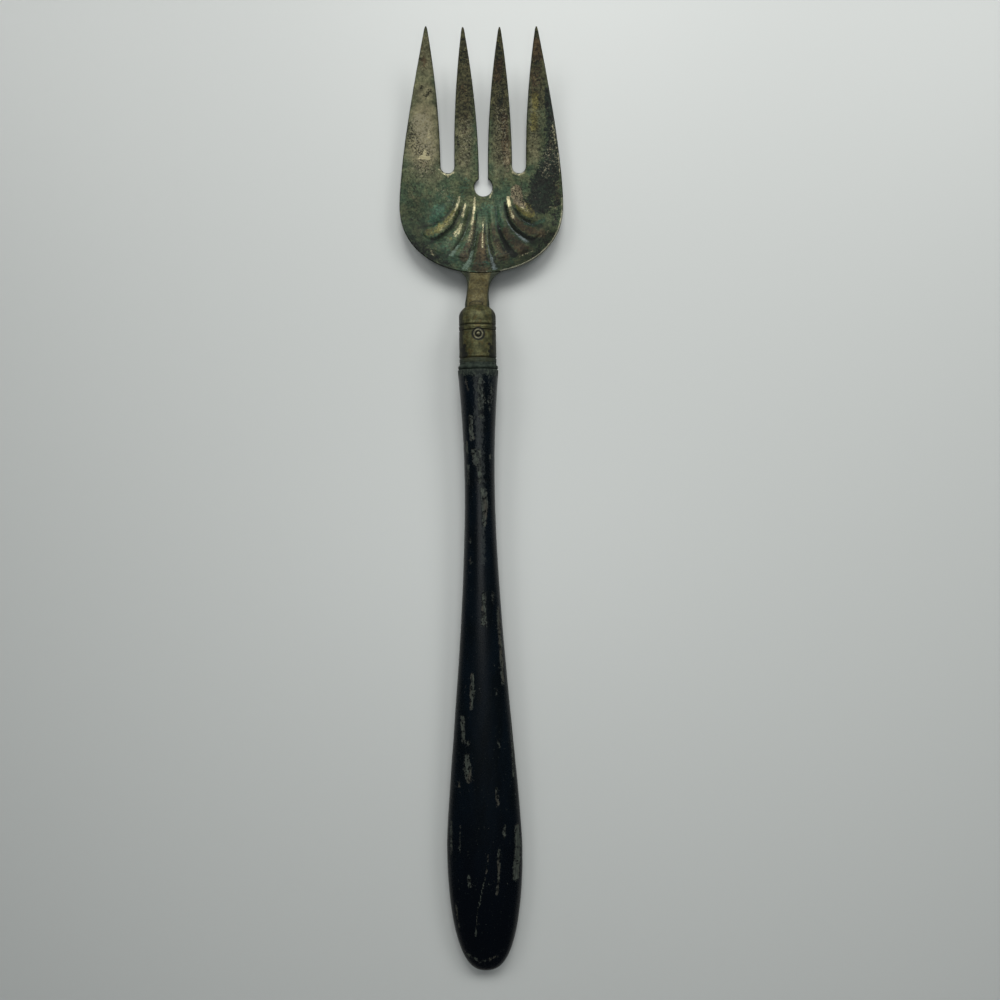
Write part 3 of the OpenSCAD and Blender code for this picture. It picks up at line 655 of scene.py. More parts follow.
def brush(marks, stretch=1.0):
    """Makes a function that tells how strongly the strongest mark covers a spot. A mark is gone
    at FADE of its radius. Stretch weighs the second coordinate, and boxes skip the far marks."""
    pieces = []
    for mark in marks.split(";") if marks else []:
        strength, *line = mark.split()
        strength = float(strength)
        line = [[float(number) for number in spot.split(",")] for spot in line]
        for (x0, y0, r0), (x1, y1, r1) in zip(line, line[1:] + line[-1:]):
            along, across = x1 - x0, (y1 - y0) * stretch
            wide = FADE * max(r0, r1)
            high = wide / stretch
            box = (min(x0, x1) - wide, max(x0, x1) + wide, min(y0, y1) - high, max(y0, y1) + high)
            pieces.append((box, strength, x0, y0, r0, r1, along, across, along ** 2 + across ** 2))

    def cover(x, y):
        best = 0.0
        for (left, right, low, high), strength, x0, y0, r0, r1, along, across, length in pieces:
            if left < x < right and low < y < high and strength > best:
                dx, dy = x - x0, (y - y0) * stretch
                t = clamp((dx * along + dy * across) / length) if length else 0.0
                reach = math.hypot(dx - t * along, dy - t * across) / between(r0, r1, t)
                if reach < FADE:
                    best = max(best, strength * smooth(FADE - reach))
        return best
    return cover


# %% Paint the layers
for name in LAYERS:
    layer = blank.verts.layers.float.new(name)
    on_sheet, on_fan = brush(SHEET_MARKS.get(name)), brush(FAN_MARKS.get(name), FAN_STRETCH)
    for vert in blank.verts:
        if vert[facing_of] > 0.5:
            amount = on_sheet(vert.co.x, vert.co.y)
            if vert[down_of] > 0 and abs(vert[lobe_of]) < HALF_FAN:
                amount = max(amount, on_fan(vert[lobe_of], vert[down_of]))
            vert[layer] = amount
print("painted", len(LAYERS), "layers")

# %% [markdown]
# ## Tarnished silver plate
# Silver goes yellow, brown, then blue-black as its tarnish thickens, and the brass under worn
# plate adds greens. The finish is therefore a stack: an olive ground that drifts to green, then
# umber, silvery, brown and slate areas, patches of ochre, tan and teal, fine light and dark
# grains, grooves darkened partly by tarnish and partly as painted shade, painted shade over the
# lower bowl by the heel, powdery verdigris, and on top bare metal where hands and cloths have
# polished it, mixed with painted highlights and glints, then a painted shade line with flecks of
# painted highlight along the edges. Bare metal is smoother and nearly all metallic. Powder and
# the painted heel shade are rough and hardly metallic, and that contrast makes the patina read
# as metal and not as paint.

# %% Noises for the plate, and ragged edges
plate = Finish("tarnished_silver_plate", IOR=1.5, Specular_IOR_Level=0.25)
drift = plate.grain(0.09, detail=3)
cloud = plate.grain(0.4, detail=6, roughness=0.6, offset=(4, 1, 0))
mottle = plate.grain(1.3, detail=6, roughness=0.66, offset=(9, 2, 3))
dark_grain = plate.grain(2.1, detail=4, roughness=0.6, offset=(2, 7, 1))
light_grain = plate.grain(1.9, detail=4, roughness=0.6, offset=(6, 3, 8))


def ragged(name, low=0.35, high=0.75, size=1.0):
    """A painted layer whose edges are eaten away by noise, so that it reads as corrosion."""
    seed = LAYERS.index(name) * 3.7
    big = plate.grain(0.4 * size, detail=5, roughness=0.65, offset=(seed, 2, seed))
    small = plate.grain(1.7 * size, detail=6, roughness=0.72, offset=(1, seed, 4))
    return (plate.layer(name) * 0.85 + (big - 0.5) + (small - 0.5) * 2.0).rise(low, high)


# %% Tarnish, from the ground up
tone = plate.mix(drift.rise(0.35, 0.65), "3b472f", "354c38")
tone = plate.mix(cloud.rise(0.4, 0.66) * 0.6, tone, "4a4932")
tone = plate.mix(plate.layer("umber").at_most(1) * 0.85, tone, "403b27")
tone = plate.mix(plate.layer("silver").at_most(1), tone, "706b52")
tone = plate.mix(ragged("brown") * 0.75, tone, "3f2f20")
slate = ragged("slate", 0.38, 0.66)
slate_tone = plate.mix(cloud.rise(0.34, 0.54), "191a17", "0e1812")
tone = plate.mix(slate * 0.95, tone, slate_tone)
tone = plate.mix(ragged("ochre") * 0.75, tone, "605a2d")
tone = plate.mix(ragged("tan") * 0.85, tone, "706550")
tone = plate.mix(ragged("teal", 0.4, 0.8) * 0.75, tone, "2c4f3f")
contrast = (plate.layer("umber") * 2.4 + slate * 3.0 + 4.3) - plate.layer("silver") * 2.5
spots = ((mottle - 0.5) * contrast + 1).at_least(0.25)
tone = plate.shade(tone, spots * ((cloud - 0.5) * 2.6 + 1).at_least(0.4))
tone = plate.mix(light_grain.rise(0.57, 0.7) * 0.16, tone, "77765c")
salt = (plate.layer("salt") * 0.15 + light_grain).rise(0.64, 0.8)
tone = plate.mix(salt * 0.7, tone, "8c8770")
pepper = (plate.layer("pepper") * 0.2 + dark_grain).rise(0.62, 0.76)
tone = plate.mix(pepper * 0.9, tone, "12120b")
# The grooves are darkened, partly by tarnish held in them and partly as painted shade.
tone = plate.mix(plate.layer("groove") * 0.75, tone, "0f140f")
# Painted shade over the lower bowl towards the heel, also rougher and less metallic there.
lower_bowl_shade = plate.layer("lower_bowl_shade").at_most(1)
tone = plate.shade(tone, 1 - lower_bowl_shade * 0.66)

# %% Powder, bare metal and the rim
powder = ragged("powder", 0.35, 0.75, 1.5)
left_to_right = plate.node("SeparateXYZ", inputs={0: plate.place}, output="X")
powder_tone = plate.mix(left_to_right.rise(-2 * MM, 3 * MM), "66776a", "6a7474")
tone = plate.mix(powder * 0.85, tone, powder_tone)
# Bare metal where hands and cloths have polished it, mixed with painted highlights and glints.
bare_and_glint, inset = ragged("worn_and_glint", 0.4, 0.85, 1.5), plate.layer("inset")
tone = plate.mix(bare_and_glint * 0.9, tone, plate.mix(inset.rise(0.6, 0.2), "a39c7c", "858678"))
# A painted shade line along every edge of the sheet, broken by painted flecks of highlight where
# the mottle is high.
rim_shade_and_glint = inset.rise(0.3, 0.08) * (1 - bare_and_glint)
tone = plate.mix(rim_shade_and_glint * 0.75, tone, plate.mix(mottle.rise(0.54, 0.64), "11120c", "7d7a66"))

metallic = (0.25 + plate.layer("silver") * 0.2 + bare_and_glint * 0.5) - powder * 0.2 - lower_bowl_shade * 0.2
rough = 0.5 + (mottle - 0.5) * 0.3 + powder * 0.3 + lower_bowl_shade * 0.3 - bare_and_glint * 0.1
plate.show(Base_Color=tone, Metallic=metallic.at_least(0.02).at_most(0.97), Roughness=rough,
           height=dark_grain * 0.6 + mottle - powder * 0.5, depth=0.08)

make_piece("head", blank, plate, "fork_head")

# %% [markdown]
# ## The shank
# The shank is a casting: a flared foot with a thin tongue soldered under the bowl, a short neck
# that turns from flat-topped to oval, and a flat tang out of sight in the handle. It is a shape
# that changes its section along one line, so a ring of edges is extruded along that line, and
# each new ring takes the section of its place.

# %% Sizes of the shank
ROOT_WIDTH, NARROW_WIDTH, END_WIDTH, END_THICKNESS = 12.0, 6.3, 7.2, 4.8
TONGUE, HEEL_STEP, FIT = 2.2, 0.25, 0.05
ROOT_THICKNESS = TONGUE + SHEET + FIT - HEEL_STEP
NECK_RUN = HEEL_Y - MOUTH_Y
INTO_FERRULE, TANG, TANG_MIDDLE = 2.0, (4.6, 2.8, 47.0), 24.5
print("neck", round(NECK_RUN, 2), "long")

# %% Sections of the shank
RING = 40


def bulge(u):
    """Rounds a section from 1 in its middle to 0 at its sides."""
    return math.sqrt(max(0.0, 1 - abs(u) ** 2.5))


def neck_top(q):
    """Height of the neck's top, a smooth curve from the heel to the handle's tipped axis."""
    high = AXIS_FOOT.z + END_THICKNESS / 2
    start, end = 0.6 * NECK_RUN, -NECK_RUN * math.tan(AXIS_TIP)
    return ((HEEL_HEIGHT - HEEL_STEP) * (1 + 2 * q) * (1 - q) ** 2 + high * q * q * (3 - 2 * q)
            + start * q * (1 - q) ** 2 - end * q * q * (1 - q))


def heel_edge(x):
    """Where the bowl's edge is at a distance from the middle."""
    return rim(math.degrees(math.asin(min(1, abs(x) / HALF_BOWL))) / 90).y


def section(place, height_of):
    """Ring of points. Place gives x and y for a share across, and height_of the two heights."""
    points = []
    for i in range(RING):
        across = math.cos(2 * math.pi * i / RING)
        x, y = place(across)
        upper, lower = height_of(x, y, across)
        points.append(Vector((x + swing_x(y), y, upper if i <= RING / 2 else lower)))
    return points


def tongue_section(q):
    half = ROOT_WIDTH / 2 * (1 - q ** 1.3) ** 0.6
    deep = TONGUE * (1 - q) ** 0.7

    def place(u):
        return half * u, between(heel_edge(half * u), HEEL_Y + TONGUE_LENGTH, q)

    def height(x, y, across):
        under = face_z(x, max(y, HEEL_Y)) - SHEET - FIT
        return under, under - deep * bulge(across)
    return section(place, height)


def neck_section(q):
    half = (NARROW_WIDTH + (ROOT_WIDTH - NARROW_WIDTH) * (1 - q) ** 5.5
            + (END_WIDTH - NARROW_WIDTH) * q ** 4) / 2
    deep, oval = between(ROOT_THICKNESS, END_THICKNESS, q), min(1, 0.15 + 1.3 * q)

    def place(u):
        return half * u, between(heel_edge(half * u) - FIT, MOUTH_Y, q)

    def height(x, y, across):
        top, round_part = neck_top(q), bulge(across)
        upper = top - oval * deep / 2 * (1 - round_part)
        return upper, top - (1 - oval) * deep * round_part - oval * deep / 2 * (1 + round_part)
    return section(place, height)


# %% A loft from ring to ring
def loft(rings):
    """Extrudes a ring of edges from section to section and closes both ends."""
    bm = bmesh.new()
    number_of = bm.verts.layers.int.new("number")
    ring = bmesh.ops.create_circle(bm, segments=len(rings[0]), radius=1)["verts"]
    for number, vert in enumerate(ring):
        vert[number_of] = number
        vert.co = rings[0][number]
    edges = bm.edges[:]
    bmesh.ops.contextual_create(bm, geom=edges)
    for points in rings[1:]:
        made = bmesh.ops.extrude_edge_only(bm, edges=edges)["geom"]
        ring = {e for e in made if isinstance(e, bmesh.types.BMVert)}
        edges = [e for e in made if isinstance(e, bmesh.types.BMEdge) and set(e.verts) <= ring]
        for vert in ring:
            vert.co = points[vert[number_of]]
    bmesh.ops.contextual_create(bm, geom=edges)
    bmesh.ops.recalc_face_normals(bm, faces=bm.faces)
    return bm


# %% [markdown]
# ## Old brass
# The casting, the ferrule and the pin share one brass: brown where it is left alone, yellower
# where it is handled, and green beside the wood, where damp sits. In its corners it goes nearly
# black: stains and dirty joints, tarnish in grooves, and painted shade in grooves, recesses, on
# the ferrule's flanks and by the ferrule's mouth. One function makes the finish, and each piece
# says how bright it is and where its dark places are.

# %% Finish of the brass
def old_brass(name, worn_tone, dull_tone, shine):
    brass = Finish(name, Specular_IOR_Level=0.25)
    cloud = brass.grain(0.45, detail=5)
    mottle = brass.grain(1.5, detail=6, roughness=0.7, offset=(3, 8, 1))
    stain = brass.grain(0.8, detail=5, roughness=0.65, offset=(7, 1, 5))
    scratches = brass.grain(0.9, stretch=(7, 0.6, 7), detail=3, offset=(1, 4, 6))
    corner = (brass.layer("corner") + (mottle - 0.5) * 1.1).rise(0.3, 0.8)
    green = (brass.layer("green") + (mottle - 0.5)).rise(0.35, 0.75)
    tone = brass.mix(cloud.rise(0.38, 0.62), dull_tone, worn_tone)
    tone = brass.mix(stain.rise(0.5, 0.62) * 0.7, tone, "4a4023")
    tone = brass.shade(tone, ((mottle - 0.5) * 3.2 + 1).at_least(0.3))
    tone = brass.mix(mottle.rise(0.6, 0.7) * 0.4, tone, "77745e")
    # Nearly black where the corner layer says: stains and dirty joints, tarnish in grooves, and
    # painted shade in recesses and on the flanks.
    tone = brass.mix(corner * 0.94, tone, "111310")
    green_tone = brass.mix(stain.rise(0.4, 0.6), "151f1a", "303a31")
    tone = brass.mix(green * 0.85, tone, green_tone)
    brass.show(Base_Color=tone, Metallic=(0.45 - corner * 0.2) - green * 0.3,
               Roughness=shine + (mottle - 0.5) * 0.4 + green * 0.2 + corner * 0.1,
               height=mottle + scratches * 0.4, depth=0.05)
    return brass


def paint_layers(bm, **layers):
    """Gives each vertex of a piece a value for each named layer."""
    for name, value_at in layers.items():
        layer = bm.verts.layers.float.new(name)
        for vert in bm.verts:
            vert[layer] = value_at(vert.co)


# %% Cast the shank
tongue_shares = (0.985, 0.96, 0.9, 0.82, 0.72, 0.6, 0.48, 0.36, 0.24, 0.12, 0)
tongue_rings = [tongue_section(q) for q in tongue_shares]
neck_rings = [neck_section(i / 44) for i in range(45)]
step = ON_AXIS.to_3x3() @ Vector((0, 0, INTO_FERRULE))
end_ring = [point + step for point in neck_rings[-1]]
shank = loft(tongue_rings + neck_rings + [end_ring])
bar = bmesh.ops.create_cube(shank, size=1)["verts"]
bmesh.ops.scale(shank, vec=TANG, verts=bar)
bmesh.ops.translate(shank, vec=(0, 0, TANG_MIDDLE), verts=bar)
bmesh.ops.transform(shank, matrix=ON_AXIS, verts=bar)


def shank_corner(p):
    """Lines of dirt and painted shade at the heel and the ferrule's arched lip; painted shade by
    the mouth.
    """
    arch = MOUTH_Y + 0.5 - 1.1 * ((p.x - swing_x(p.y) + 0.2) / 2.8) ** 2
    return max(0.35 * smooth((p.y - HEEL_Y + 0.3) / 0.4), 0.75 * near(p.y, arch, 0.4),
               0.35 * smooth((MOUTH_Y + 2.8 - p.y) / 2))


def shank_green(p):
    return 0.75 * smooth((abs(p.x - swing_x(p.y)) - 2.2) / 1.1)


paint_layers(shank, corner=shank_corner, green=shank_green)
shank_brass = old_brass("brown_brass", "625c3f", "4b4630", 0.62)
make_piece("shank_casting", shank, shank_brass, "shank")

# %% [markdown]
# ## The ferrule
# The ferrule is lathe work, so its outline is spun about the handle's axis: a domed shoulder, a
# plain tube with thin turned grooves, and a bead against the wood. Its mouth isn't round, since
# the shank enters it flat-sided, and so after the spin the shoulder's rings are eased outwards
# to the sides. The grooves are cut as shallow cosines, and a groove of negative depth is a lip.
# The tube is sunk a little round the pin, so that the pin's ringed head stands clear.

# %% Sizes of the ferrule
RADIUS, BORE, SHOULDER, TUBE_END = 5.42, 4.62, 4.0, 19.3
BEAD_RADIUS, BEAD_HALF = 5.9, 0.6
MOUTH_ACROSS, MOUTH_THROUGH = END_WIDTH / 2 + FIT, END_THICKNESS / 2 + FIT
DOME_WALL, GROOVE_HALF = 0.8, 0.24
GROOVES = [(5.8, -0.05), (6.35, 0.22), (7.1, -0.07), (7.9, 0.22), (15.4, -0.06), (16.0, 0.22),
           (17.3, 0.1)]  # place along the tube, depth
PIN_AT, PIN_ASIDE = 9.25, 0.3
SINK_RADIUS, SINK_FLOOR = 1.6, 4.95


def mouth_radius(angle):
    """Distance from the axis to the flat-sided mouth."""
    c, s = abs(math.cos(angle)), abs(math.sin(angle))
    flat = MOUTH_ACROSS - MOUTH_THROUGH
    if s > 1e-6 and MOUTH_THROUGH * c / s <= flat:
        return MOUTH_THROUGH / s
    return flat * c + math.sqrt(max(0.0, MOUTH_THROUGH ** 2 - (flat * s) ** 2))


def dome_along(radius):
    """Place along the axis of the domed shoulder's surface."""
    return SHOULDER * (1 - math.sqrt(max(0.0, 1 - (radius / RADIUS) ** 2)))


# %% Turn the ferrule
dome_from = math.asin(MOUTH_THROUGH / RADIUS)
ring_places = [(at + GROOVE_HALF * t / 5, deep * (1 + math.cos(math.pi * t / 5)) / 2)
               for at, deep in GROOVES for t in range(-5, 6)]
plain_places = [(SHOULDER + 0.3 * i, 0.0) for i in range(1, 50)
                if all(abs(SHOULDER + 0.3 * i - at) > 0.3 for at, _ in GROOVES)]
inside = (MOUTH_THROUGH, dome_along(MOUTH_THROUGH) + DOME_WALL)
outline = [inside]
outline += [(RADIUS * math.sin(a), SHOULDER * (1 - math.cos(a)))
            for a in (between(dome_from, math.pi / 2, i / 18) for i in range(19))]
outline += [(RADIUS - deep, at) for at, deep in sorted(ring_places + plain_places)]
outline += [(RADIUS + (BEAD_RADIUS - RADIUS) * cosine(a),
             TUBE_END - BEAD_HALF + BEAD_HALF * sine(a)) for a in range(-90, 91, 15)]
outline += [(BORE, TUBE_END), (BORE, SHOULDER + DOME_WALL), inside]
tube = turn(outline, 128)

# %% Ease the mouth, and sink the tube round the pin
for vert in tube.verts:
    radius, angle = math.hypot(vert.co.x, vert.co.y), math.atan2(vert.co.y, vert.co.x)
    if vert.co.z < SHOULDER + 0.01 and radius > 1:
        inner = vert.co.z > dome_along(radius) + DOME_WALL / 2
        a = math.asin(min(1.0, radius / RADIUS))
        start = math.asin(mouth_radius(angle) / RADIUS)
        a = between(start, math.pi / 2, (a - dome_from) / (math.pi / 2 - dome_from))
        radius = RADIUS * math.sin(a)
        along = dome_along(radius) + (DOME_WALL if inner else 0)
        vert.co = Vector((radius * math.cos(angle), radius * math.sin(angle), along))
    dent = 1 + 0.004 * noise.noise(vert.co * 0.4)
    vert.co = Vector((vert.co.x * dent, vert.co.y * dent, vert.co.z))
    from_pin = math.hypot(vert.co.x - PIN_ASIDE, vert.co.z - PIN_AT)
    if from_pin < SINK_RADIUS and radius > BORE + 0.1:
        floor_y = between(SINK_FLOOR, abs(vert.co.y), smooth((from_pin - SINK_RADIUS + 0.3) / 0.3))
        vert.co.y = math.copysign(min(abs(vert.co.y), floor_y), vert.co.y)


# %% Corners, stains and the green by the bead
STAINS = """
    1.1 -3.8,12.6,0.7; 1.1 -4.3,13.7,1; 1.2 -3.8,15.2,1.2; 1 3.5,12.2,0.6; 1.1 4.1,13.1,0.8;
    1.1 3.6,14.3,0.7; 1.1 4.2,15.5,1.1; 0.6 -4.3,5.5,0.9 -4.3,9,0.9"""
stained = brush(STAINS)


def ferrule_corner(p):
    """Dark in stains, seam and bead; painted shade on the flanks, partly so in grooves and round
    the pin.
    """
    fade = 0.25 + 0.75 * smooth((4.9 - abs(p.x)) / 1.4)
    cut = max(0.8 * fade * near(p.z, at, 0.32) * deep / 0.22 for at, deep in GROOVES)
    from_pin = math.hypot(p.x - PIN_ASIDE, p.z - PIN_AT)
    around_pin = near(from_pin, 1.75, 0.45) if p.y > 0 else 0
    from_mouth = math.hypot(p.x, p.y) - mouth_radius(math.atan2(p.y, p.x))
    seam = smooth(1 - from_mouth / 0.6) if p.z < 1.8 else 0
    # Painted shade: the tube's flanks are darkened where they face the dim room.
    flank = smooth((abs(p.x) - 3.85) / 0.8 + 0.25)
    stain = stained(p.x, p.z) if p.y > 0 else 0.0
    return max(cut, around_pin, seam, stain, 0.65 * flank, smooth((p.z - 17.0) / 0.6))


def ferrule_green(p):
    return max(0.66 * smooth((p.z - 15.9) / 0.4), smooth(p.z - 17.0))


paint_layers(tube, corner=ferrule_corner, green=ferrule_green)
ferrule_brass = old_brass("worn_brass", "555538", "3b3c26", 0.52)
make_piece("ferrule_tube", tube, ferrule_brass, "ferrule", on_axis=True)

# %% [markdown]
# ## The cross pin
# The pin is a rivet through ferrule, wood and tang. Each end was closed with a cupped punch,
# which leaves a small dome in a ring. It is turned on its own axis and laid across.

# %% Turn the pin
# The flange is 0.3 thick and rounded by 0.1, and the cup in it is 0.22 deep.
DOME, CUP, FLANGE, SEAT = 0.55, 0.95, 1.6, RADIUS - 0.35
head_outline = [(DOME, SEAT), (FLANGE, SEAT), (FLANGE, SEAT + 0.2)]
head_outline += [(FLANGE - 0.1 + 0.1 * cosine(a), SEAT + 0.2 + 0.1 * sine(a))
                 for a in (30, 60, 90)]
head_outline += [(between(FLANGE - 0.2, CUP, t / 4), SEAT + 0.3) for t in range(5)]
head_outline += [(between(CUP, DOME, t / 8), SEAT + 0.3 - 0.22 * math.sin(math.pi * t / 8))
                 for t in range(1, 8)]
head_outline += [(DOME * cosine(a), SEAT + 0.28 + 0.42 * sine(a)) for a in range(0, 91, 10)]
whole_pin = [(r, -z) for r, z in reversed(head_outline)] + head_outline
pin = turn(whole_pin, 64)


def pin_corner(p):
    """Painted shade in the cup and at the flange's edge."""
    out = math.hypot(p.x, p.y)
    return max(near(out, 0.8, 0.5), smooth((out - 1.36) / 0.1))


paint_layers(pin, corner=pin_corner, green=lambda p: 0.0)
across = Matrix.Rotation(-math.pi / 2, 3, "X")
bmesh.ops.rotate(pin, cent=(0, 0, 0), matrix=across, verts=pin.verts)
bmesh.ops.translate(pin, vec=(PIN_ASIDE, 0, PIN_AT), verts=pin.verts)
pin_brass = old_brass("pin_brass", "6f6d57", "545240", 0.42)
make_piece("rivet", pin, pin_brass, "ferrule_pin", on_axis=True)

# %% [markdown]
# ## The handle
# The handle was turned and then rasped flatter towards the palm. It is made the same way here:
# its half outline is spun to a round body, and each ring is then pressed to its own thickness.

# %% Sizes of the handle
TOP_AT = TUBE_END + FIT
NECK_LENGTH, HANDLE_LENGTH, BUTT_LENGTH = 34.4, 179.4, 38.0
WAIST_AT, END_AT = TOP_AT + NECK_LENGTH, TOP_AT + HANDLE_LENGTH
PALM_AT = END_AT - BUTT_LENGTH
TOP_WIDTH, WAIST_WIDTH, WAIST_THICK, PALM_WIDTH, PALM_THICK = 12.1, 8.95, 8.5, 22.6, 10.6
SPIGOT, SPIGOT_AT, LIP = BORE - FIT, 5.6, 0.45


def profile(s, top, low, high):
    """Half size at a place along the handle: the neck, the swell to the palm, the round butt."""
    neckward = max(0.0, (WAIST_AT - s) / NECK_LENGTH) ** 2
    t = clamp((s - WAIST_AT) / (PALM_AT - WAIST_AT))
    swell = 1 - (1 - t ** 1.7) ** 1.35
    e = clamp((s - PALM_AT) / BUTT_LENGTH)
    return (low + (top - low) * neckward + (high - low) * swell) * (1 - e ** 2.2) ** 0.378 / 2


def half_width(s):
    return profile(s, TOP_WIDTH, WAIST_WIDTH, PALM_WIDTH)


def half_thick(s):
    return profile(s, TOP_WIDTH, WAIST_THICK, PALM_THICK)


# %% Turn and flatten the handle
stations = [between(TOP_AT + 0.5, PALM_AT, i / 240) for i in range(241)]
stations += [PALM_AT + BUTT_LENGTH * sine(a) for a in range(1, 89)]
lip_from = half_width(TOP_AT) - LIP
body = [(0, SPIGOT_AT), (SPIGOT, SPIGOT_AT), (SPIGOT, TOP_AT), (lip_from, TOP_AT)]
body += [(lip_from + LIP * sine(a), TOP_AT + LIP - LIP * cosine(a)) for a in (30, 60)]
body += [(half_width(s), s) for s in stations] + [(0, END_AT)]
wood = turn(body, 144)
for vert in wood.verts:
    s = min(vert.co.z, END_AT - 0.01)
    flat = half_thick(s) / half_width(s) if s > TOP_AT else 1
    rasp = 0.996 + 0.006 * noise.noise(Vector((vert.co.x * 0.25, vert.co.y * 0.25, s * 0.08)))
    vert.co = Vector((vert.co.x * rasp, vert.co.y * flat * rasp, vert.co.z))

# %% [markdown]
# ## Ebonised wood
# The black is a thin stain and varnish over close-grained wood. It has chipped in long flakes
# that follow the grain, and the bare wood in them has gone grey and brown. Long stretched noise
# gives the flakes, and a painted layer says where on the handle they crowd.

# %% Where the handle is chipped
# The marks are as on the head, and a spot is place along the axis, place across, radius.
CHIPS = """
    0.7 22.4,-3.4,0.6 25.6,-3,0.5; 0.7 26.2,1.6,0.5 29,1.9,0.5; 0.6 24.8,4.1,0.9 29.2,3.4,0.7;
    0.75 22.8,0.6,1.5 33.2,0.8,1.2; 0.9 33.2,-2.4,0.9 39.6,-1.9,1;
    0.8 40.5,-3.7,0.6 43.7,-3.5,0.6; 1 43.1,-1.7,0.9 46.6,-0.9,1.2;
    0.8 47.5,-3.4,0.6 52.7,-3.3,0.6; 0.8 43.1,0,0.9 52.4,0.2,0.9;
    1 54.7,1,1.2 59.4,1.6,1.3 64.6,1.2,0.9; 0.7 68.4,-2.9,0.4 70.1,-2.9,0.4;
    0.7 74.5,-3,0.4 76.4,-3,0.4; 0.7 44.3,3.2,0.4 46.3,3.2,0.4; 0.6 28.6,2.9,0.4 32.1,3.4,0.4;
    0.9 85.2,0.9,1 89.3,0.8,0.9 94,0.8,1.2; 0.7 84.9,3.5,0.6 87.5,3.5,0.6;
    0.9 89.6,4.9,0.6 101.6,5.6,0.7 111.5,6.1,0.7; 0.9 108.9,-2.9,0.7 113.9,-3,0.9 118.9,-3.4,0.6;
    0.7 113,4.2,0.4 115.4,4.1,0.4; 0.9 121.5,-6,0.9 128.5,-5.8,0.9; 1 129.1,-4.4,0.9;
    0.9 132.9,-4.7,1.2 139.7,-4.5,1.5; 0.6 127.7,4.1,0.4 130.6,5,0.4;
    0.8 122.1,8.3,0.4 139.7,8.9,0.4; 0.8 140.8,-7.2,0.4 142.3,-7.2,0.4;
    0.9 142.3,3.6,0.6 147.3,4.2,0.7; 0.7 153.8,-7.1,0.3 162.4,-7.3,0.4;
    0.75 152.9,-9.9,0.5 162.7,-9.9,0.5; 0.8 153.8,6.1,0.6 157.3,5.8,0.6;
    1.1 154.4,9.7,0.9 160.9,9.9,1.2 169.7,9.2,1.2;
    0.85 160.9,4.3,0.7 167.4,4.2,0.7 173.9,3.5,0.6;
    0.85 162.1,1,0.3 166.8,0.5,0.3 174.2,-1.2,0.3 179.5,-2.4,0.3 186.8,-3,0.3;
    0.85 168.6,-4.7,0.7 171.5,-4.4,0.9; 0.6 177.1,-8.9,0.4 184.5,-7.9,0.4;
    0.6 191.9,-7.1,0.6 195.1,-1.8,0.6 193.3,3.5,0.6"""
# Grey along the top of the handle: partly wear from the palm, partly a painted highlight down the
# middle.
RUBBED_AND_HIGHLIGHT = """
    1 22,0.2,2.2 40,0.2,1.9 60,0.8,1.2 76,0.8,1; 0.7 20,3.8,1.6 30,3.4,1"""
NICKS = [(37.6, 0.5), (51.4, 1.0), (52.4, 0.8)]  # place along the axis, strength
chipped, rubbed = brush(CHIPS), brush(RUBBED_AND_HIGHLIGHT)


def chip_amount(p):
    """Chips on the upper side, and a little wear along both edges."""
    if p.y < 0:
        return 0.1
    edge = abs(p.x) / max(0.5, half_width(min(max(p.z, TOP_AT), END_AT - 1)))
    return max(chipped(p.z, p.x), 0.25 * smooth((edge - 0.85) / 0.15))


def nick(p):
    """Strength of the cross cuts that a knife or a string has left near the waist."""
    cuts = max(strength * near(p.z, at, 0.35) for at, strength in NICKS)
    return cuts * smooth((2.6 - abs(p.x - 0.8)) / 0.9) if p.y > 0 else 0.0


NICK_DEPTH = 0.2
for vert in wood.verts:
    vert.co.y -= NICK_DEPTH * nick(vert.co)
paint_layers(wood, chips=chip_amount, nick=nick,
             rubbed=lambda p: rubbed(p.z, p.x) if p.y > 0 else 0.0,
             damp=lambda p: smooth((TOP_AT + 3.4 - p.z) / 3),
             deep=lambda p: smooth((p.z - 120) / 70))

# %% Finish of the handle
ebony = Finish("ebonised_wood", IOR=1.5, Specular_IOR_Level=0.2)
flakes = ebony.grain(1.1, stretch=(1.3, 0.7, 1.3), detail=6, roughness=0.7)
fibres = ebony.grain(2.0, stretch=(2.6, 0.2, 2.6), detail=4, roughness=0.6, offset=(5, 2, 1))
specks = ebony.grain(2.4, detail=5, roughness=0.7, offset=(8, 8, 2))
haze = ebony.grain(0.12, stretch=(2, 0.6, 2), detail=4, offset=(2, 5, 5))
ragged_edge = (flakes - 0.5) * 2.0 + (specks - 0.5) * 0.8
bald = (ebony.layer("chips") * 0.8 + ragged_edge * 0.6).rise(0.35, 0.55)
chip = (ebony.layer("chips") * 0.66 + ragged_edge * 1.35).rise(0.42, 0.6)
rub = (ebony.layer("rubbed") * 0.55 + ragged_edge).rise(0.35, 0.6)
damp = (ebony.layer("damp") + (specks - 0.5) * 2.8).rise(0.35, 0.75)
timber = ebony.mix(fibres.rise(0.35, 0.65), "2a2f2d", "4e544c")
timber = ebony.mix(haze.rise(0.52, 0.6) * 0.5, timber, "40382f")
tone = ebony.mix(haze.rise(0.35, 0.65), "02070b", "040c13")
# Painted shade: the black is made darker towards the butt.
tone = ebony.mix(ebony.layer("deep") * 0.9, tone, "000309")
tone = ebony.mix(bald * 0.7, tone, "0c0e0c")
# Grey along the top: partly wear from the palm, partly a painted centre highlight.
tone = ebony.mix(rub * 0.5, tone, "363b3a")
tone = ebony.mix(chip * 0.9, tone, timber)
tone = ebony.mix(ebony.layer("nick") * 0.8, tone, "070908")
tone = ebony.mix(damp * 0.8, tone, ebony.mix(flakes.rise(0.45, 0.6), "1d2420", "434b41"))
rough = 0.28 + chip * 0.35 + rub * 0.12 + damp * 0.3 + (specks - 0.5) * 0.25
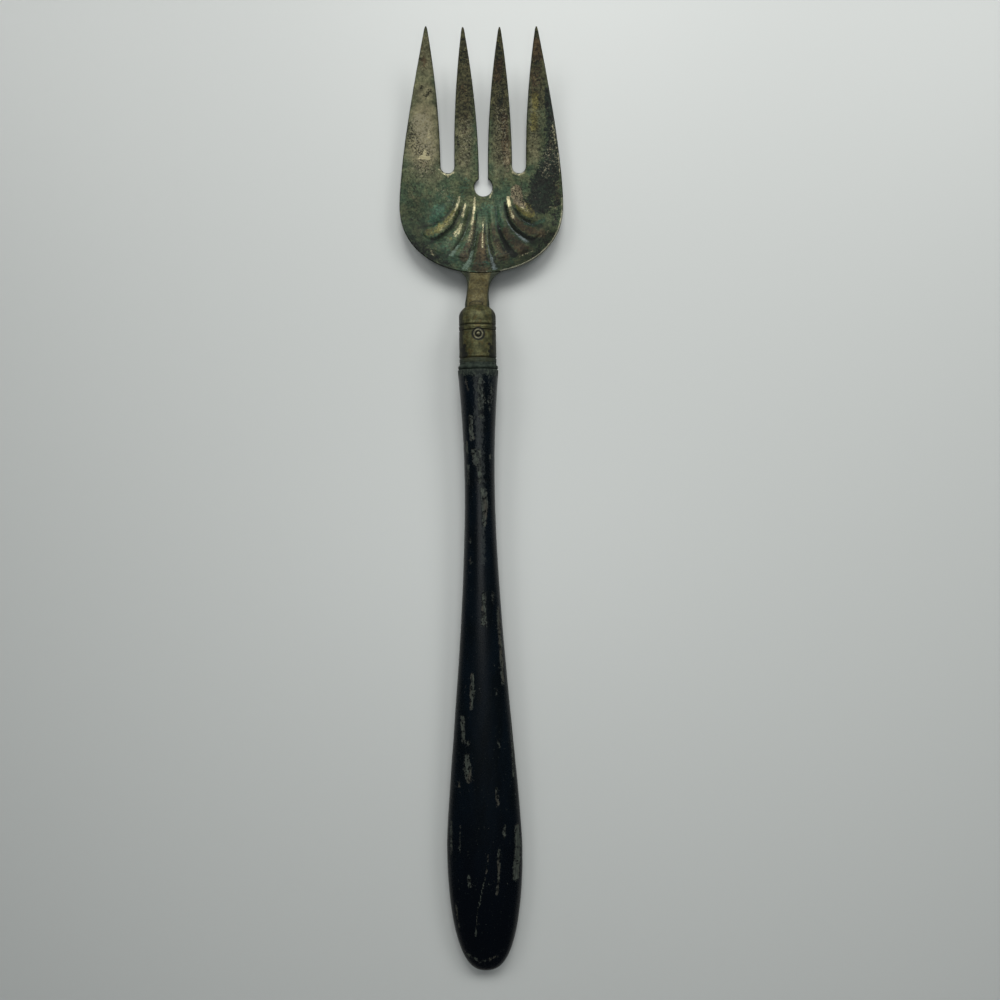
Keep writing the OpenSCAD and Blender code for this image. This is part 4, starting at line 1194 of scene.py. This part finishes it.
ebony.show(Base_Color=tone, Roughness=rough,
           height=fibres * 0.25 + specks * 0.25 - chip * 0.9 - bald * 0.4, depth=0.07)
make_piece("turned_handle", wood, ebony, "handle", on_axis=True)

# %% [markdown]
# ## The table and the light
# The table is plain and pale. Three broad windows stand beyond the tines, so that shadows are
# soft and the table falls slowly from light to grey towards the butt. A small lamp hangs right
# above the fork: on a round dark handle it draws the narrow bright line that tells the eye the
# varnish is smooth. The room gives only a little light, which keeps the black wood black.

# %% Table
table_top = bmesh.new()
bmesh.ops.create_grid(table_top, x_segments=1, y_segments=1, size=2.0)
surface = Finish("pale_table", Roughness=0.38, Base_Color="c6c9c7")
mesh = bpy.data.meshes.new("table_top")
table_top.to_mesh(mesh)
table_top.free()
mesh.materials.append(surface.material)
floor = bpy.data.objects.new("table_top", mesh)
bpy.context.scene.collection.objects.link(floor)
print("table laid")


# %% Lamps and room
def lamp(name, place, target, size, power, tint, spread=180):
    data = bpy.data.lights.new(name, "AREA")
    data.shape = "ELLIPSE"
    data.size, data.size_y = size
    data.energy, data.color = power, tint
    data.spread = math.radians(spread)
    light = bpy.data.objects.new(name, data)
    light.location = place
    light.rotation_euler = (Vector(target) - Vector(place)).to_track_quat("-Z", "Y").to_euler()
    light.visible_camera = False
    bpy.context.scene.collection.objects.link(light)
    print(name, power, "W")


WINDOWS = (("window_left", (-0.50, 0.62, 0.78), 0.35), ("window", (0.05, 0.69, 0.80), 0.64),
           ("window_right", (0.60, 0.62, 0.78), 0.415))
for name, place, power in WINDOWS:
    lamp(name, place, (0.06, 0.10, 0.0), (0.5, 0.5), power, (1.0, 1.0, 0.985), spread=54)
lamp("overhead", (0.0, -0.03, 0.50), (0.0, -0.01, 0.0), (0.30, 0.14), 0.30, (0.97, 1.0, 1.0))
room = bpy.data.worlds.new("room")
room.use_nodes = True
room.node_tree.nodes["Background"].inputs["Color"].default_value = (0.82, 0.9, 0.95, 1.0)
room.node_tree.nodes["Background"].inputs["Strength"].default_value = 0.08
bpy.context.scene.world = room

# %% Finish
print("scene built")
